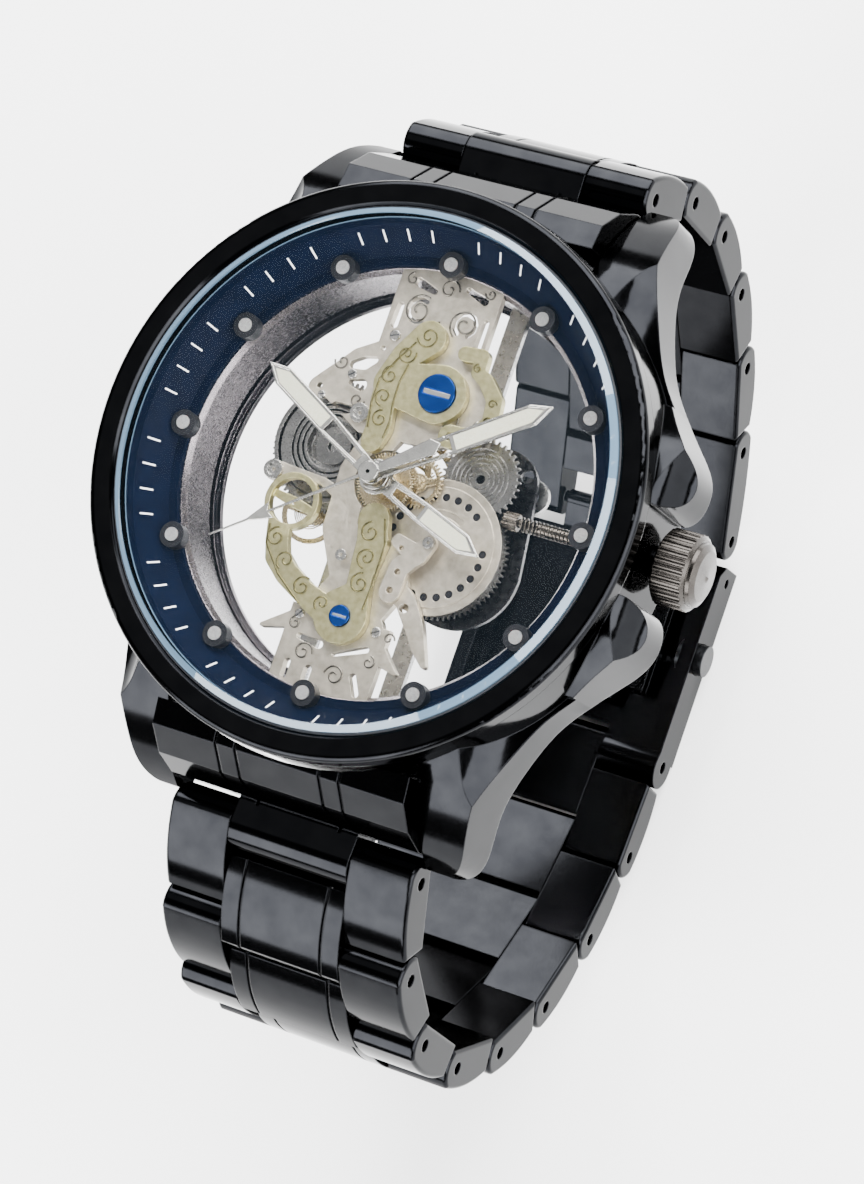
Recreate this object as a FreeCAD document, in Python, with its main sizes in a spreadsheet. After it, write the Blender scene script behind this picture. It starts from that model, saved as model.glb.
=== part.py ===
import FreeCAD, Part
import Sketcher
import math
import os
from FreeCAD import Placement, Rotation, Vector

# A skeleton wristwatch on a three-row steel bracelet, closed in its worn loop.
# Frame: +X points to the crown, +Y to 12 o'clock, +Z out of the dial.
# The origin is on the dial's axis, on the flat outer face of the clasp.
# Every head part is drawn about the dial level, then lifted by its Placement.

doc = FreeCAD.newDocument("SkeletonWatch")
sheet = doc.addObject("Spreadsheet::Sheet", "Sizes")

SIZES = [
    ("dial_level", 50.5, "height of the hour markers' tops above the clasp face"),
    ("bezel_radius", 21.0, "outside of the bezel"),
    ("bezel_top", 3.2, "top of the bezel"),
    ("bezel_foot", 1.5, "bottom of the bezel's outside"),
    ("bezel_bore", 18.5, "inside of the bezel under the crystal"),
    ("crystal_radius", 18.9, "front crystal"),
    ("crystal_top", 3.45, "top of the front crystal"),
    ("crystal_seat", 2.3, "underside of the front crystal"),
    ("case_radius", 20.9, "round part of the mid case"),
    ("case_floor", -6.0, "bottom of the mid case"),
    ("movement_bore", 18.5, "bore of the mid case around the movement ring"),
    ("dial_top", -1.1, "inner edge of the dial ring"),
    ("dial_flat", 16.6, "where the dial ring starts to rise"),
    ("dial_rim", 1.2, "top of the dial ring's slope"),
    ("dial_inner", 15.9, "inside of the dial ring"),
    ("dial_thick", 0.4, "dial ring"),
    ("window_radius", 15.5, "inside of the movement ring"),
    ("back_floor", -7.4, "outside of the case back"),
    ("marker_ring", 16.1, "pitch radius of the hour markers"),
    ("marker_radius", 0.95, "hour marker cup"),
    ("pip_radius", 0.5, "luminous pip in each cup"),
    ("lug_inside", 10.3, "half of the gap between two lugs"),
    ("band_half", 10.0, "half of the bracelet's width"),
    ("centre_half", 4.9, "half of a centre piece's width"),
    ("side_gap", 0.1, "between a centre piece and an outer piece"),
    ("pitch", 7.8, "pin to pin along the bracelet"),
    ("link_half", 1.5, "half of a link's thickness"),
    ("link_bulge", 0.35, "rise of a link's outer face"),
    ("pin_radius", 0.5, "bracelet pins"),
    ("pin_inset", 0.6, "a pin's end below the link's side"),
    ("knuckle_radius", 1.8, "round end of an outer piece"),
    ("tongue_radius", 1.85, "round end of a centre piece"),
    ("outer_stop", 1.9, "outer piece's square end, short of the next pin"),
    ("centre_start", 1.95, "centre piece's square end, past the last pin"),
    ("hidden_pin", 7.5, "half length of the pin inside a row"),
    ("pivot_reach", 26.0, "first bracelet pins, from the dial's axis along Y"),
    ("pivot_drop", 8.0, "first bracelet pins, below the dial level"),
    ("crown_level", -2.95, "axis of the winding stem"),
    ("crown_radius", 2.75, "crown"),
    ("stem_radius", 0.45, "winding stem"),
    ("plate_top", -1.55, "dial side of the main plate"),
    ("plate_thick", 0.65, "main plate"),
    ("bridge_top", -0.8, "face of the gilt bridges"),
    ("bridge_thick", 0.7, "gilt bridges"),
    ("rear_top", -5.4, "inside of the train bridge"),
    ("rear_thick", 0.5, "train bridge"),
    ("tooth_depth", 0.28, "wheel teeth"),
    ("hand_thick", 0.18, "hands"),
    ("hand_width", 1.55, "broad hands"),
    ("clasp_face", -50.5, "outer face of the clasp, below the dial level"),
    ("clasp_wall", 1.2, "side wall of the clasp cover"),
    ("cover_floor", 0.9, "floor of the clasp cover"),
    ("blade_thick", 0.8, "folding blades"),
    ("button_radius", 1.3, "clasp push buttons"),
]
for row, (alias, value, note) in enumerate(SIZES, start=1):
    sheet.set("A%d" % row, note)
    sheet.set("B%d" % row, str(value))
    sheet.setAlias("B%d" % row, alias)
doc.recompute()
ALIASES = {alias for alias, value, note in SIZES}

# Bend at each bracelet pin, in degrees, from the case towards the clasp.
# The first of each list is the slope of the first link below level.
BENDS_SIX = [31, 27, 25, 22, 20, 18, 17, 15]
BENDS_TWELVE = [73, 18, 17, 15, 14, 11]

# Where the main plate's two ends sit in the movement ring: low and high corners.
PLATE_FEET = {
    "plate_top_end": (("-4.1", "9.6"), ("4.0", "15.9")),
    "plate_foot_end": (("-3.7", "-15.9"), ("4.2", "-10.0")),
}
# The two straight bars of the bridge under the train: middle and half width.
BAR_STRIPS = ((4.0, 0.75), (-3.4, 0.7))

# Wheel places in the movement (x, y).
LEFT_BARREL = (-5.75, 1.8)
RIGHT_BARREL = (5.0, -3.35)
CROWN_WHEEL = (6.5, 2.2)
MINUTE_WHEEL = (2.3, 0.7)
THIRD_WHEEL = (0.5, 5.0)
ESCAPE_WHEEL = (-2.6, -1.6)
PALLET_FORK = (-4.33, -2.38)
BALANCE = (-6.13, -3.2)
CENTRE = (0.0, 0.0)


# ---------------------------------------------------------------- helpers

def worth(text):
    """The value of a sum such as 'bezel_top - 0.3'."""
    total = 0.0
    sign = 1
    for word in str(text).split():
        if word == "+":
            sign = 1
        elif word == "-":
            sign = -1
        else:
            total += sign * (sheet.get(word) if word in ALIASES else float(word))
            sign = 1
    return total


def drive(obj, prop, text):
    """Bind a property to a sum of sheet cells."""
    words = ["Sizes." + word if word in ALIASES else word for word in str(text).split()]
    obj.setExpression(prop, " ".join(words))


def place(obj, x="0", y="0", z="0"):
    drive(obj, "Placement.Base.x", x)
    drive(obj, "Placement.Base.y", y)
    drive(obj, "Placement.Base.z", z)
    return obj


def lift(obj):
    """Put a head part at the dial level."""
    return place(obj, z="dial_level")


def cylinder(name, radius, height, x="0", y="0", z="0"):
    obj = doc.addObject("Part::Cylinder", name)
    drive(obj, "Radius", radius)
    drive(obj, "Height", height)
    return place(obj, x, y, z)


def cross_rod(name, radius, half_length, y, z):
    """A rod along X, centred on the dial's middle plane."""
    obj = doc.addObject("Part::Cylinder", name)
    drive(obj, "Radius", radius)
    obj.setExpression("Height", "2 * (%s)" % bound(half_length))
    obj.Placement = Placement(Vector(-worth(half_length), y, z), Rotation(Vector(0, 1, 0), 90))
    return obj


def bound(text):
    return " ".join("Sizes." + word if word in ALIASES else word for word in str(text).split())


def box(name, low, high):
    """A box between two corners, each given as three sums."""
    obj = doc.addObject("Part::Box", name)
    for prop, a, b in zip(("Length", "Width", "Height"), low, high):
        obj.setExpression(prop, "(%s) - (%s)" % (bound(b), bound(a)))
    return place(obj, *low)


def cut(name, base, tools):
    tool = tools[0]
    if len(tools) > 1:
        tool = doc.addObject("Part::MultiFuse", name + "_tools")
        tool.Shapes = tools
    obj = doc.addObject("Part::Cut", name)
    obj.Base = base
    obj.Tool = tool
    return obj


def fuse(name, shapes):
    obj = doc.addObject("Part::MultiFuse", name)
    obj.Shapes = shapes
    obj.Refine = True
    return obj


def group(name, members):
    """One node of several separate solids."""
    obj = doc.addObject("Part::Compound", name)
    obj.Links = members
    return obj


def shaped(name, shape):
    obj = doc.addObject("Part::Feature", name)
    obj.Shape = shape
    return obj


def origin_plane(body, role):
    return [item for item in body.Origin.OriginFeatures if item.Role == role][0]


def sketch_loop(body, name, role, points):
    """A closed loop of straight lines whose corners are bound to the sheet."""
    sketch = body.newObject("Sketcher::SketchObject", name)
    sketch.AttachmentSupport = [(origin_plane(body, role), "")]
    sketch.MapMode = "FlatFace"
    corners = [Vector(worth(a), worth(b), 0) for a, b in points]
    count = len(corners)
    for index in range(count):
        sketch.addGeometry(Part.LineSegment(corners[index], corners[(index + 1) % count]), False)
    for index in range(count):
        sketch.addConstraint(Sketcher.Constraint("Coincident", index, 2, (index + 1) % count, 1))
    for index, pair in enumerate(points):
        for kind, text, value in zip(("DistanceX", "DistanceY"), pair, corners[index]):
            number = sketch.addConstraint(Sketcher.Constraint(kind, index, 1, value))
            sketch.setExpression("Constraints[%d]" % number, bound(text))
    return sketch


def turned(name, points, feature="Revolution"):
    """A body turned about Z from (radius, height) corners."""
    body = doc.addObject("PartDesign::Body", name)
    sketch = sketch_loop(body, name + "_profile", "XZ_Plane", points)
    turn = body.newObject("PartDesign::" + feature, name + "_turn")
    turn.Profile = sketch
    turn.ReferenceAxis = (sketch, ["V_Axis"])
    turn.Angle = 360
    return body


def rounded(body, corners, radius):
    """Round the ring-shaped edges of a turned body at the given (radius, height) corners."""
    doc.recompute()
    turn = body.Tip
    names = []
    for index, edge in enumerate(turn.Shape.Edges, start=1):
        start = edge.Vertexes[0].Point
        for reach, height in corners:
            if abs(math.hypot(start.x, start.y) - reach) < 0.001 and abs(start.z - height) < 0.001:
                if abs(edge.BoundBox.ZLength) < 0.001:
                    names.append("Edge%d" % index)
    fillet = body.newObject("PartDesign::Fillet", body.Name + "_rounding")
    fillet.Base = (turn, names)
    fillet.Radius = radius
    return body


def disc(x, y, z, radius, thick):
    return Part.makeCylinder(radius, thick, Vector(x, y, z))


def slab(points, z, thick):
    """A flat plate with straight sides, from z upwards."""
    corners = [Vector(x, y, z) for x, y in points]
    return Part.Face(Part.makePolygon(corners + corners[:1])).extrude(Vector(0, 0, thick))


def prism(outline, put, push):
    """A solid from an outline of straight steps (pairs) and smooth curves (lists of pairs)."""
    here = put(*outline[0])
    start = here
    edges = []
    for step in outline[1:] + [outline[0]]:
        if isinstance(step, list):
            curve = Part.BSplineCurve()
            curve.interpolate([here] + [put(*pair) for pair in step])
            edges.append(curve.toShape())
            here = put(*step[-1])
        else:
            there = put(*step)
            edges.append(Part.makeLine(here, there))
            here = there
    assert here.distanceToPoint(start) < 1e-6
    return Part.Face(Part.Wire(edges)).extrude(push)


def strap(stations, z, thick):
    """A flat arm with round ends through (x, y, radius) stations."""
    pieces = []
    for x, y, radius in stations:
        pieces.append(disc(x, y, z, radius, thick))
    for (x1, y1, r1), (x2, y2, r2) in zip(stations, stations[1:]):
        length = math.hypot(x2 - x1, y2 - y1)
        heading = math.atan2(y2 - y1, x2 - x1)
        lean = math.acos((r1 - r2) / length)
        corners = []
        for x, y, radius, side in ((x1, y1, r1, 1), (x2, y2, r2, 1), (x2, y2, r2, -1),
                                   (x1, y1, r1, -1)):
            angle = heading + side * lean
            corners.append((x + radius * math.cos(angle), y + radius * math.sin(angle)))
        pieces.append(slab(corners, z, thick))
    return pieces[0].multiFuse(pieces[1:]).removeSplitter()


def arc_stations(x, y, sweep_radius, start, end, width, count=9):
    """Stations along an arc, from start to end degrees."""
    stations = []
    for index in range(count):
        angle = math.radians(start + (end - start) * index / (count - 1))
        stations.append((x + sweep_radius * math.cos(angle), y + sweep_radius * math.sin(angle), width))
    return stations


def gear(x, y, z, teeth, pitch_radius, thick, lead=0.0):
    """A solid toothed disc."""
    depth = worth("tooth_depth") * min(1.0, pitch_radius / 2.0)
    tip = pitch_radius + 0.4 * depth
    root = pitch_radius - 0.6 * depth
    step = 2 * math.pi / teeth
    corners = []
    for index in range(teeth):
        middle = lead + index * step
        for share, radius in ((-0.30, root), (-0.11, tip), (0.11, tip), (0.30, root)):
            angle = middle + share * step
            corners.append((x + radius * math.cos(angle), y + radius * math.sin(angle)))
    return slab(corners, z, thick)


def open_wheel(x, y, z, teeth, pitch_radius, thick, hub, spokes, rim=0.55):
    """A toothed wheel with arms."""
    wheel = gear(x, y, z, teeth, pitch_radius, thick)
    window = disc(x, y, z, pitch_radius - rim, thick).cut(disc(x, y, z, hub, thick))
    arms = []
    for index in range(spokes):
        angle = 2 * math.pi * index / spokes + 0.3
        end = (x + pitch_radius * math.cos(angle), y + pitch_radius * math.sin(angle))
        arms.append(strap([(x, y, 0.34), (end[0], end[1], 0.2)], z, thick))
    return wheel.cut(window.cut(arms))


def tube(x, y, z, outer, inner, height):
    return disc(x, y, z, outer, height).cut(disc(x, y, z, inner, height))


# ---------------------------------------------------------------- the case

# The case's outline in plan: one smooth wall from a lug's tip, in at the waist,
# and out again over the shoulder beside the crown. Pairs join straight, lists are smooth curves.
LUG_TIP = [(10.3, 3.3), (10.3, 24.9), (11.9, 24.9)]
LUG_EDGE = [(13.0, 24.4), (13.85, 22.3), (14.65, 18.9), (15.75, 15.7), (17.1, 12.7), (18.85, 10.4)]
SHOULDER_EDGE = [(20.2, 8.9), (21.6, 7.4), (22.45, 5.7), (22.2, 4.3), (21.0, 3.3)]
PLAIN_EDGE = [(19.65, 7.1)]
LUG_SIDE = [
    (9.0, 1.4), [(12.5, 1.3), (16.0, 0.5), (19.2, -1.0), (22.0, -3.3), (24.0, -5.6), (24.9, -7.2)],
    (24.9, -8.6),
    [(24.4, -9.3), (23.3, -9.3), (21.3, -8.2), (19.4, -7.0), (17.0, -6.3), (13.0, -6.05), (9.0, -6.0)],
]
LUG_FRONT = [
    (9.0, 1.4), (11.4, 1.4), [(12.3, 0.9), (13.6, -0.9), (15.2, -2.1), (19.0, -2.8)],
    (19.0, -6.3), [(17.6, -7.4), (16.2, -9.0), (15.4, -9.8)], (9.0, -9.8),
]
SHOULDER_SIDE = [(3.0, 1.1), [(6.0, 0.9), (8.4, -0.4), (10.7, -2.2)], (10.7, -6.0), (3.0, -6.0)]
SHOULDER_FRONT = [(9.0, 1.2), (20.5, 1.2), [(21.3, 0.2), (22.0, -1.1), (22.8, -1.9)], (22.8, -4.4),
                  [(22.2, -5.2), (21.0, -5.8), (19.8, -6.0)], (9.0, -6.0)]


def case_arm(edge, side, front, flip_x, flip_y):
    """A lug or a crown shoulder: its plan, side and front outlines in common."""
    plan = prism(LUG_TIP + [edge], lambda x, y: Vector(flip_x * x, flip_y * y, -12), Vector(0, 0, 20))
    long_way = prism(side, lambda y, z: Vector(0, flip_y * y, z), Vector(flip_x * 30, 0, 0))
    across = prism(front, lambda x, z: Vector(flip_x * x, 0, z), Vector(0, flip_y * 30, 0))
    return plan.common(long_way).common(across)


def case_arms():
    arms = []
    for flip_y in (1, -1):
        shouldered = LUG_EDGE + SHOULDER_EDGE
        arms.append(case_arm(shouldered, LUG_SIDE, LUG_FRONT, 1, flip_y))
        arms.append(case_arm(shouldered, SHOULDER_SIDE, SHOULDER_FRONT, 1, flip_y))
        arms.append(case_arm(LUG_EDGE + PLAIN_EDGE, LUG_SIDE, LUG_FRONT, -1, flip_y))
    return arms


def crown_tube():
    """Sleeve pressed into the case around the stem."""
    start = Vector(18.55, 0, worth("crown_level"))
    across = Vector(1, 0, 0)
    sleeve = Part.makeCylinder(1.2, 2.8, start, across)
    return shaped("crown_tube", sleeve.cut(Part.makeCylinder(worth("stem_radius") + 0.06, 2.8, start,
                                                             across)))


def make_mid_case():
    barrel = cylinder("case_barrel", "case_radius", "bezel_foot - 0.03 - case_floor", z="case_floor")
    arms = [shaped("case_arm_%d" % index, arm) for index, arm in enumerate(case_arms(), start=1)]
    solid = fuse("case_blank", [barrel] + arms)
    bores = [
        cylinder("bezel_seat", "20.25", "3", z="0.15"),
        cylinder("movement_space", "movement_bore", "12", z="case_floor - 1"),
        cylinder("back_seat", "19.45", "4", z="case_floor - 4"),
        cross_bore("stem_bore", 1.25, 15, 12),
        cross_bore("crown_recess", 3.25, 21.2, 6),
    ]
    bores += bar_holes("lug_bar_holes")
    shell = cut("mid_case_shell", solid, bores)
    return lift(group("mid_case", [shell, crown_tube()]))


def cross_bore(name, radius, start, length):
    """A bore along X on the stem's axis."""
    obj = doc.addObject("Part::Cylinder", name)
    drive(obj, "Radius", radius)
    drive(obj, "Height", length)
    obj.Placement = Placement(Vector(start, 0, worth("crown_level")), Rotation(Vector(0, 1, 0), 90))
    return obj


BAR_PLACE = (22.4, -5.4)


def bar_holes(name):
    """Blind holes that hold the spring bars between the lugs."""
    return [cross_rod("%s_%d" % (name, side), "0.6", "lug_inside + 1.6", side * BAR_PLACE[0],
                      BAR_PLACE[1])
            for side in (1, -1)]


def make_spring_bars():
    bars = [cross_rod("spring_bar_%d" % side, "0.55", "lug_inside + 1.5", side * BAR_PLACE[0],
                      BAR_PLACE[1])
            for side in (1, -1)]
    return lift(group("spring_bars", bars))


def make_bezel():
    body = turned("bezel", [
        ("bezel_bore", "0.2"), ("20.2", "0.2"), ("20.2", "bezel_foot"), ("bezel_radius", "bezel_foot"),
        ("bezel_radius", "bezel_top"), ("19.3", "bezel_top"), ("19.1", "bezel_top - 0.2"),
        ("19.1", "crystal_seat"), ("bezel_bore", "crystal_seat")])
    return lift(rounded(body, [(worth("bezel_radius"), worth("bezel_top"))], 0.45))


def make_crystal():
    body = turned("crystal", [
        ("0", "crystal_seat"), ("crystal_radius", "crystal_seat"), ("crystal_radius",
                                                                    "crystal_top - 0.35"),
        ("crystal_radius - 0.5", "crystal_top"), ("0", "crystal_top")])
    return lift(body)


def make_crystal_gasket():
    body = turned("crystal_gasket", [
        ("crystal_radius + 0.02", "crystal_seat"), ("19.08", "crystal_seat"),
        ("19.08", "bezel_top - 0.3"), ("crystal_radius + 0.02", "bezel_top - 0.3")])
    return lift(body)


def make_dial_ring():
    """Chapter ring: a narrow flat, then a slope, then a short wall up to the crystal."""
    body = turned("dial_ring_blank", [
        ("dial_inner", "dial_top - dial_thick"), ("bezel_bore - 0.02", "dial_top - dial_thick"),
        ("bezel_bore - 0.02", "crystal_seat - 0.05"), ("bezel_bore - 0.12", "crystal_seat - 0.05"),
        ("bezel_bore - 0.12", "dial_rim"), ("dial_flat", "dial_top"), ("dial_inner", "dial_top")])
    pockets = [cylinder("cup_pocket_%d" % hour, "marker_radius + 0.02", "4", str(x), str(y), "dial_top")
               for hour, x, y in marker_points()]
    return lift(cut("dial_ring", body, pockets))


def make_movement_ring():
    """Holds the movement; the plate and the bridge under the train are let into it."""
    body = turned("movement_ring_blank", [
        ("window_radius", "rear_top - 0.45"), ("movement_bore - 0.03", "rear_top - 0.45"),
        ("movement_bore - 0.03", "dial_top - dial_thick"), ("window_radius + 0.3",
                                                            "dial_top - dial_thick"),
        ("window_radius", "dial_top - dial_thick - 0.4")])
    tools = [cross_bore("ring_stem_bore", 0.8, 14, 8)]
    for name, (low, high) in PLATE_FEET.items():
        tools.append(box(name + "_seat", (low[0], low[1], "plate_top - plate_thick"),
                         (high[0], high[1], "plate_top")))
    for x, half in BAR_STRIPS:
        for name, low, high in (("top", "10", "15.6"), ("foot", "-15.6", "-10")):
            tools.append(box("bar_seat_%s" % name, (str(x - half), low, "rear_top - rear_thick"),
                             (str(x + half), high, "rear_top")))
    return lift(cut("movement_ring", body, tools))


def make_case_back():
    body = turned("case_back_blank", [
        ("window_radius - 0.4", "back_floor + 0.5"), ("window_radius - 0.4", "back_floor"), ("18.6",
                "back_floor"),
        ("19.4", "back_floor + 0.5"), ("19.4", "case_floor - 0.02"), ("18.3", "case_floor - 0.02"),
        ("18.3", "rear_top - 0.48"), ("16.6", "rear_top - 0.48"), ("16.6", "case_floor - 0.3"),
        ("window_radius - 0.1", "case_floor - 0.3"), ("window_radius - 0.1", "back_floor + 0.5")])
    notches = []
    for index in range(6):
        notch = doc.addObject("Part::Box", "key_notch_%d" % index)
        notch.Length = 1.6
        notch.Width = 2.4
        notch.Height = 0.6
        turn = Rotation(Vector(0, 0, 1), 60 * index)
        notch.Placement = Placement(turn.multVec(Vector(18.3, -1.2, worth("back_floor") - 0.1)), turn)
        notches.append(notch)
    return lift(cut("case_back", body, notches))


def make_case_back_crystal():
    body = turned("case_back_crystal", [
        ("0", "case_floor - 0.9"), ("window_radius - 0.12", "case_floor - 0.9"),
        ("window_radius - 0.12", "case_floor - 0.32"), ("0", "case_floor - 0.32")])
    return lift(body)


def marker_points():
    for hour in range(12):
        angle = math.radians(30 * hour)
        yield hour, worth("marker_ring") * math.sin(angle), worth("marker_ring") * math.cos(angle)


def make_markers():
    """Twelve round cups on the dial ring's inner edge, each with a luminous pip."""
    cups = []
    pips = []
    foot = "dial_top + 0.02"
    for hour, x, y in marker_points():
        outside = cylinder("cup_blank_%d" % hour, "marker_radius", "0 - dial_top - 0.12", str(x),
                           str(y), foot)
        inside = cylinder("cup_bore_%d" % hour, "pip_radius + 0.02", "2", str(x), str(y),
                          "dial_top + 0.5")
        cups.append(cut("cup_%d" % hour, outside, [inside]))
        pips.append(cylinder("pip_%d" % hour, "pip_radius", "0 - dial_top - 0.5", str(x), str(y),
                             "dial_top + 0.5"))
    lift(group("hour_marker_cups", cups))
    return lift(group("hour_marker_pips", pips))


# ---------------------------------------------------------------- crown and winding

def along_x(obj, start, level="crown_level"):
    """Turn a Z-built body so that it runs along +X from the start, at the stem's level."""
    obj.Placement = Placement(Vector(start, 0, worth(level) + worth("dial_level")),
                              Rotation(Vector(0, 1, 0), 90))
    return obj


CROWN_START = 21.5


def make_crown():
    """A fluted crown with a plain domed cap; its stem socket is on the inside."""
    body = turned("crown_blank", [
        ("0.5", "0"), ("crown_radius - 0.35", "0"), ("crown_radius", "0.25"), ("crown_radius", "2.35"),
        ("crown_radius - 0.3", "2.6"), ("crown_radius - 0.45", "2.6"), ("crown_radius - 0.5", "2.9"),
        ("crown_radius - 0.95", "3.15"), ("0", "3.3"), ("0", "1.4"), ("0.5", "1.4")])
    flutes = []
    for index in range(26):
        angle = 2 * math.pi * index / 26
        reach = worth("crown_radius") + 0.08
        flutes.append(disc(reach * math.cos(angle), reach * math.sin(angle), -0.1, 0.26, 2.5))
    cutter = shaped("crown_flutes", Part.makeCompound(flutes))
    return along_x(cut("crown", body, [cutter]), CROWN_START)


def make_winding_stem():
    """Plain stem with a fine thread at its inner end and a tip in the crown."""
    body = turned("winding_stem", [
        ("0", "0"), ("0.28", "0"), ("0.28", "2.2"), ("stem_radius", "2.2"),
        ("stem_radius", "13.3"), ("0", "13.3")])
    return along_x(body, CROWN_START + 1.35 - 13.3)


def make_winding_pinion():
    start = worth("crown_level")
    pinion = gear(0, 0, 0, 12, 0.62, 1.1).cut(disc(0, 0, 0, 0.33, 1.1))
    obj = shaped("winding_pinion", pinion)
    obj.Placement = Placement(Vector(9.12, 0, start + worth("dial_level")),
                              Rotation(Vector(0, 1, 0), 90))
    return obj


def grooved_top(x, y, z, radii, depth, width=0.12):
    """Concentric turned grooves, as one cutting shape."""
    rings = [tube(x, y, z - depth, radius + width, radius, depth + 0.05) for radius in radii]
    return rings[0].multiFuse(rings[1:])


CROWN_WHEEL_REACH = 2.9


def make_crown_wheel():
    x, y = CROWN_WHEEL
    wheel = gear(x, y, -2.78, CROWN_WHEEL_TEETH, CROWN_WHEEL_REACH, 0.26)
    wheel = wheel.cut(grooved_top(x, y, -2.52, (0.7, 1.05, 1.4, 1.75, 2.1), 0.08))
    return lift(shaped("crown_wheel", wheel.cut(disc(x, y, -3.2, 0.35, 1.0))))


RATCHET_TEETH = 35
CROWN_WHEEL_TEETH = 36


def ratchet_lead(toward):
    """Turns the ratchet so that a gap faces the crown wheel's nearest tooth."""
    step = 2 * math.pi / CROWN_WHEEL_TEETH
    offset = (toward + math.pi) % step
    return toward + half_step(RATCHET_TEETH) + offset * CROWN_WHEEL_TEETH / RATCHET_TEETH


def make_ratchet_wheel():
    """Pierced ratchet disc on its plain carrier, with the ratchet teeth below."""
    x, y = RIGHT_BARREL
    span = math.hypot(CROWN_WHEEL[0] - x, CROWN_WHEEL[1] - y)
    reach = span - CROWN_WHEEL_REACH - 0.03
    toward = math.atan2(CROWN_WHEEL[1] - y, CROWN_WHEEL[0] - x)
    carrier = disc(x, y, -2.47, 4.95, 0.12)
    plate = disc(x, y, -2.35, 4.4, 0.08)
    for index in range(22):
        angle = 2 * math.pi * index / 24 + 0.9
        cx = x + 3.65 * math.cos(angle)
        cy = y + 3.65 * math.sin(angle)
        plate = plate.cut(disc(cx, cy, -2.6, 0.3, 0.5))
    plate = plate.cut(strap(arc_stations(x, y, 2.5, 60, 120, 0.25), -2.6, 0.5))
    teeth = gear(x, y, -2.78, RATCHET_TEETH, reach, 0.31, ratchet_lead(toward))
    whole = carrier.fuse([plate, teeth, disc(x, y, -4.9, 0.4, 2.5)])
    return lift(shaped("ratchet_wheel", whole.removeSplitter()))


BARREL_TEETH = 72
CENTRE_TEETH = 18


def barrel_reach():
    """Pitch radius of a barrel in mesh with the centre pinion."""
    span = math.hypot(*LEFT_BARREL)
    return span * BARREL_TEETH / (BARREL_TEETH + CENTRE_TEETH)


def make_barrel(name, at, top, lead):
    x, y = at
    reach = barrel_reach()
    drum = disc(x, y, -4.2, reach - 0.45, top + 4.2)
    hollow = disc(x, y, -4.0, reach - 0.75, top + 4.1)
    shell = drum.cut(hollow).fuse(gear(x, y, -4.2, BARREL_TEETH, reach, 0.25, lead))
    turns = ((3.9, 3.05), (2.9, 2.65), (2.5, 2.25), (2.1, 1.85))
    coils = [tube(x, y, -4.0, outer, inner, top + 3.85) for outer, inner in turns]
    floor = disc(x, y, -4.0, 1.4, 0.4)
    whole = shell.multiFuse(coils + [floor]).removeSplitter()
    return lift(shaped(name, whole.cut(disc(x, y, -4.4, 0.45, 3.0))))


# ---------------------------------------------------------------- the going train

def half_step(teeth):
    return math.pi / teeth


def make_center_wheel():
    """Centre wheel, its pinion in mesh with both barrels, and the hollow minute arbor."""
    span = math.hypot(*THIRD_WHEEL)
    reach = span * 80 / 90
    lead = math.atan2(LEFT_BARREL[1], LEFT_BARREL[0])
    wheel = open_wheel(0, 0, -4.65, 80, reach, 0.2, 1.0, 5)
    pinion = gear(0, 0, -4.45, CENTRE_TEETH, math.hypot(*LEFT_BARREL) - barrel_reach(), 0.55, lead)
    cannon = gear(0, 0, -2.13, 12, 0.6, 0.17)
    arbor = disc(0, 0, -4.65, 0.36, 5.75)
    whole = wheel.multiFuse([pinion, cannon, arbor]).removeSplitter()
    return lift(shaped("center_wheel", whole.cut(disc(0, 0, -5, 0.2, 8))))


def make_third_wheel():
    x, y = THIRD_WHEEL
    span = math.hypot(x, y)
    lead = math.atan2(-y, -x)
    wheel = open_wheel(x, y, -4.97, 75, span * 75 / 85, 0.17, 0.9, 4)
    pinion = gear(x, y, -4.7, 10, span * 10 / 90, 0.3, lead + half_step(10))
    arbor = disc(x, y, -5.6, 0.2, 1.2)
    return lift(shaped("third_wheel", wheel.multiFuse([pinion, arbor]).removeSplitter()))


def make_fourth_wheel():
    """Seconds arbor through the hollow centre arbor, with its pinion and wheel."""
    span = math.hypot(*THIRD_WHEEL)
    lead = math.atan2(THIRD_WHEEL[1], THIRD_WHEEL[0])
    wheel = open_wheel(0, 0, -5.25, 70, 2.6, 0.13, 0.7, 4, 0.4)
    pinion = gear(0, 0, -5.05, 10, span * 10 / 85, 0.3, lead + half_step(10))
    arbor = disc(0, 0, -5.6, 0.15, 7.35)
    return lift(shaped("fourth_wheel", wheel.multiFuse([pinion, arbor]).removeSplitter()))


def make_hour_work():
    """Hour wheel and 24-hour wheel on tubes around the centre arbor, and the wheel that turns both."""
    x, y = MINUTE_WHEEL
    span = math.hypot(x, y)
    back = math.atan2(-y, -x)
    hour = gear(0, 0, -1.92, 40, span * 0.8 - 0.02, 0.14).fuse(disc(0, 0, -1.92, 0.62, 2.42))
    lift(shaped("hour_wheel", hour.cut(disc(0, 0, -2.1, 0.42, 4))))
    dual = gear(0, 0, -1.73, 64, span * 0.888 - 0.02, 0.12).fuse(disc(0, 0, -1.73, 0.88, 1.88))
    lift(shaped("dual_time_wheel", dual.cut(disc(0, 0, -2.0, 0.68, 4))))
    minute = open_wheel(x, y, -2.13, 36, span * 0.75 - 0.03, 0.17, 0.7, 3, 0.4)
    upper = gear(x, y, -1.97, 10, span * 0.2 - 0.03, 0.2, back + half_step(10))
    top = gear(x, y, -1.78, 8, span * 0.111 - 0.03, 0.18, back)
    arbor = disc(x, y, -2.16, 0.12, 0.56)
    whole = minute.multiFuse([upper, top, arbor]).removeSplitter()
    return lift(shaped("minute_wheel", whole))


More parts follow.
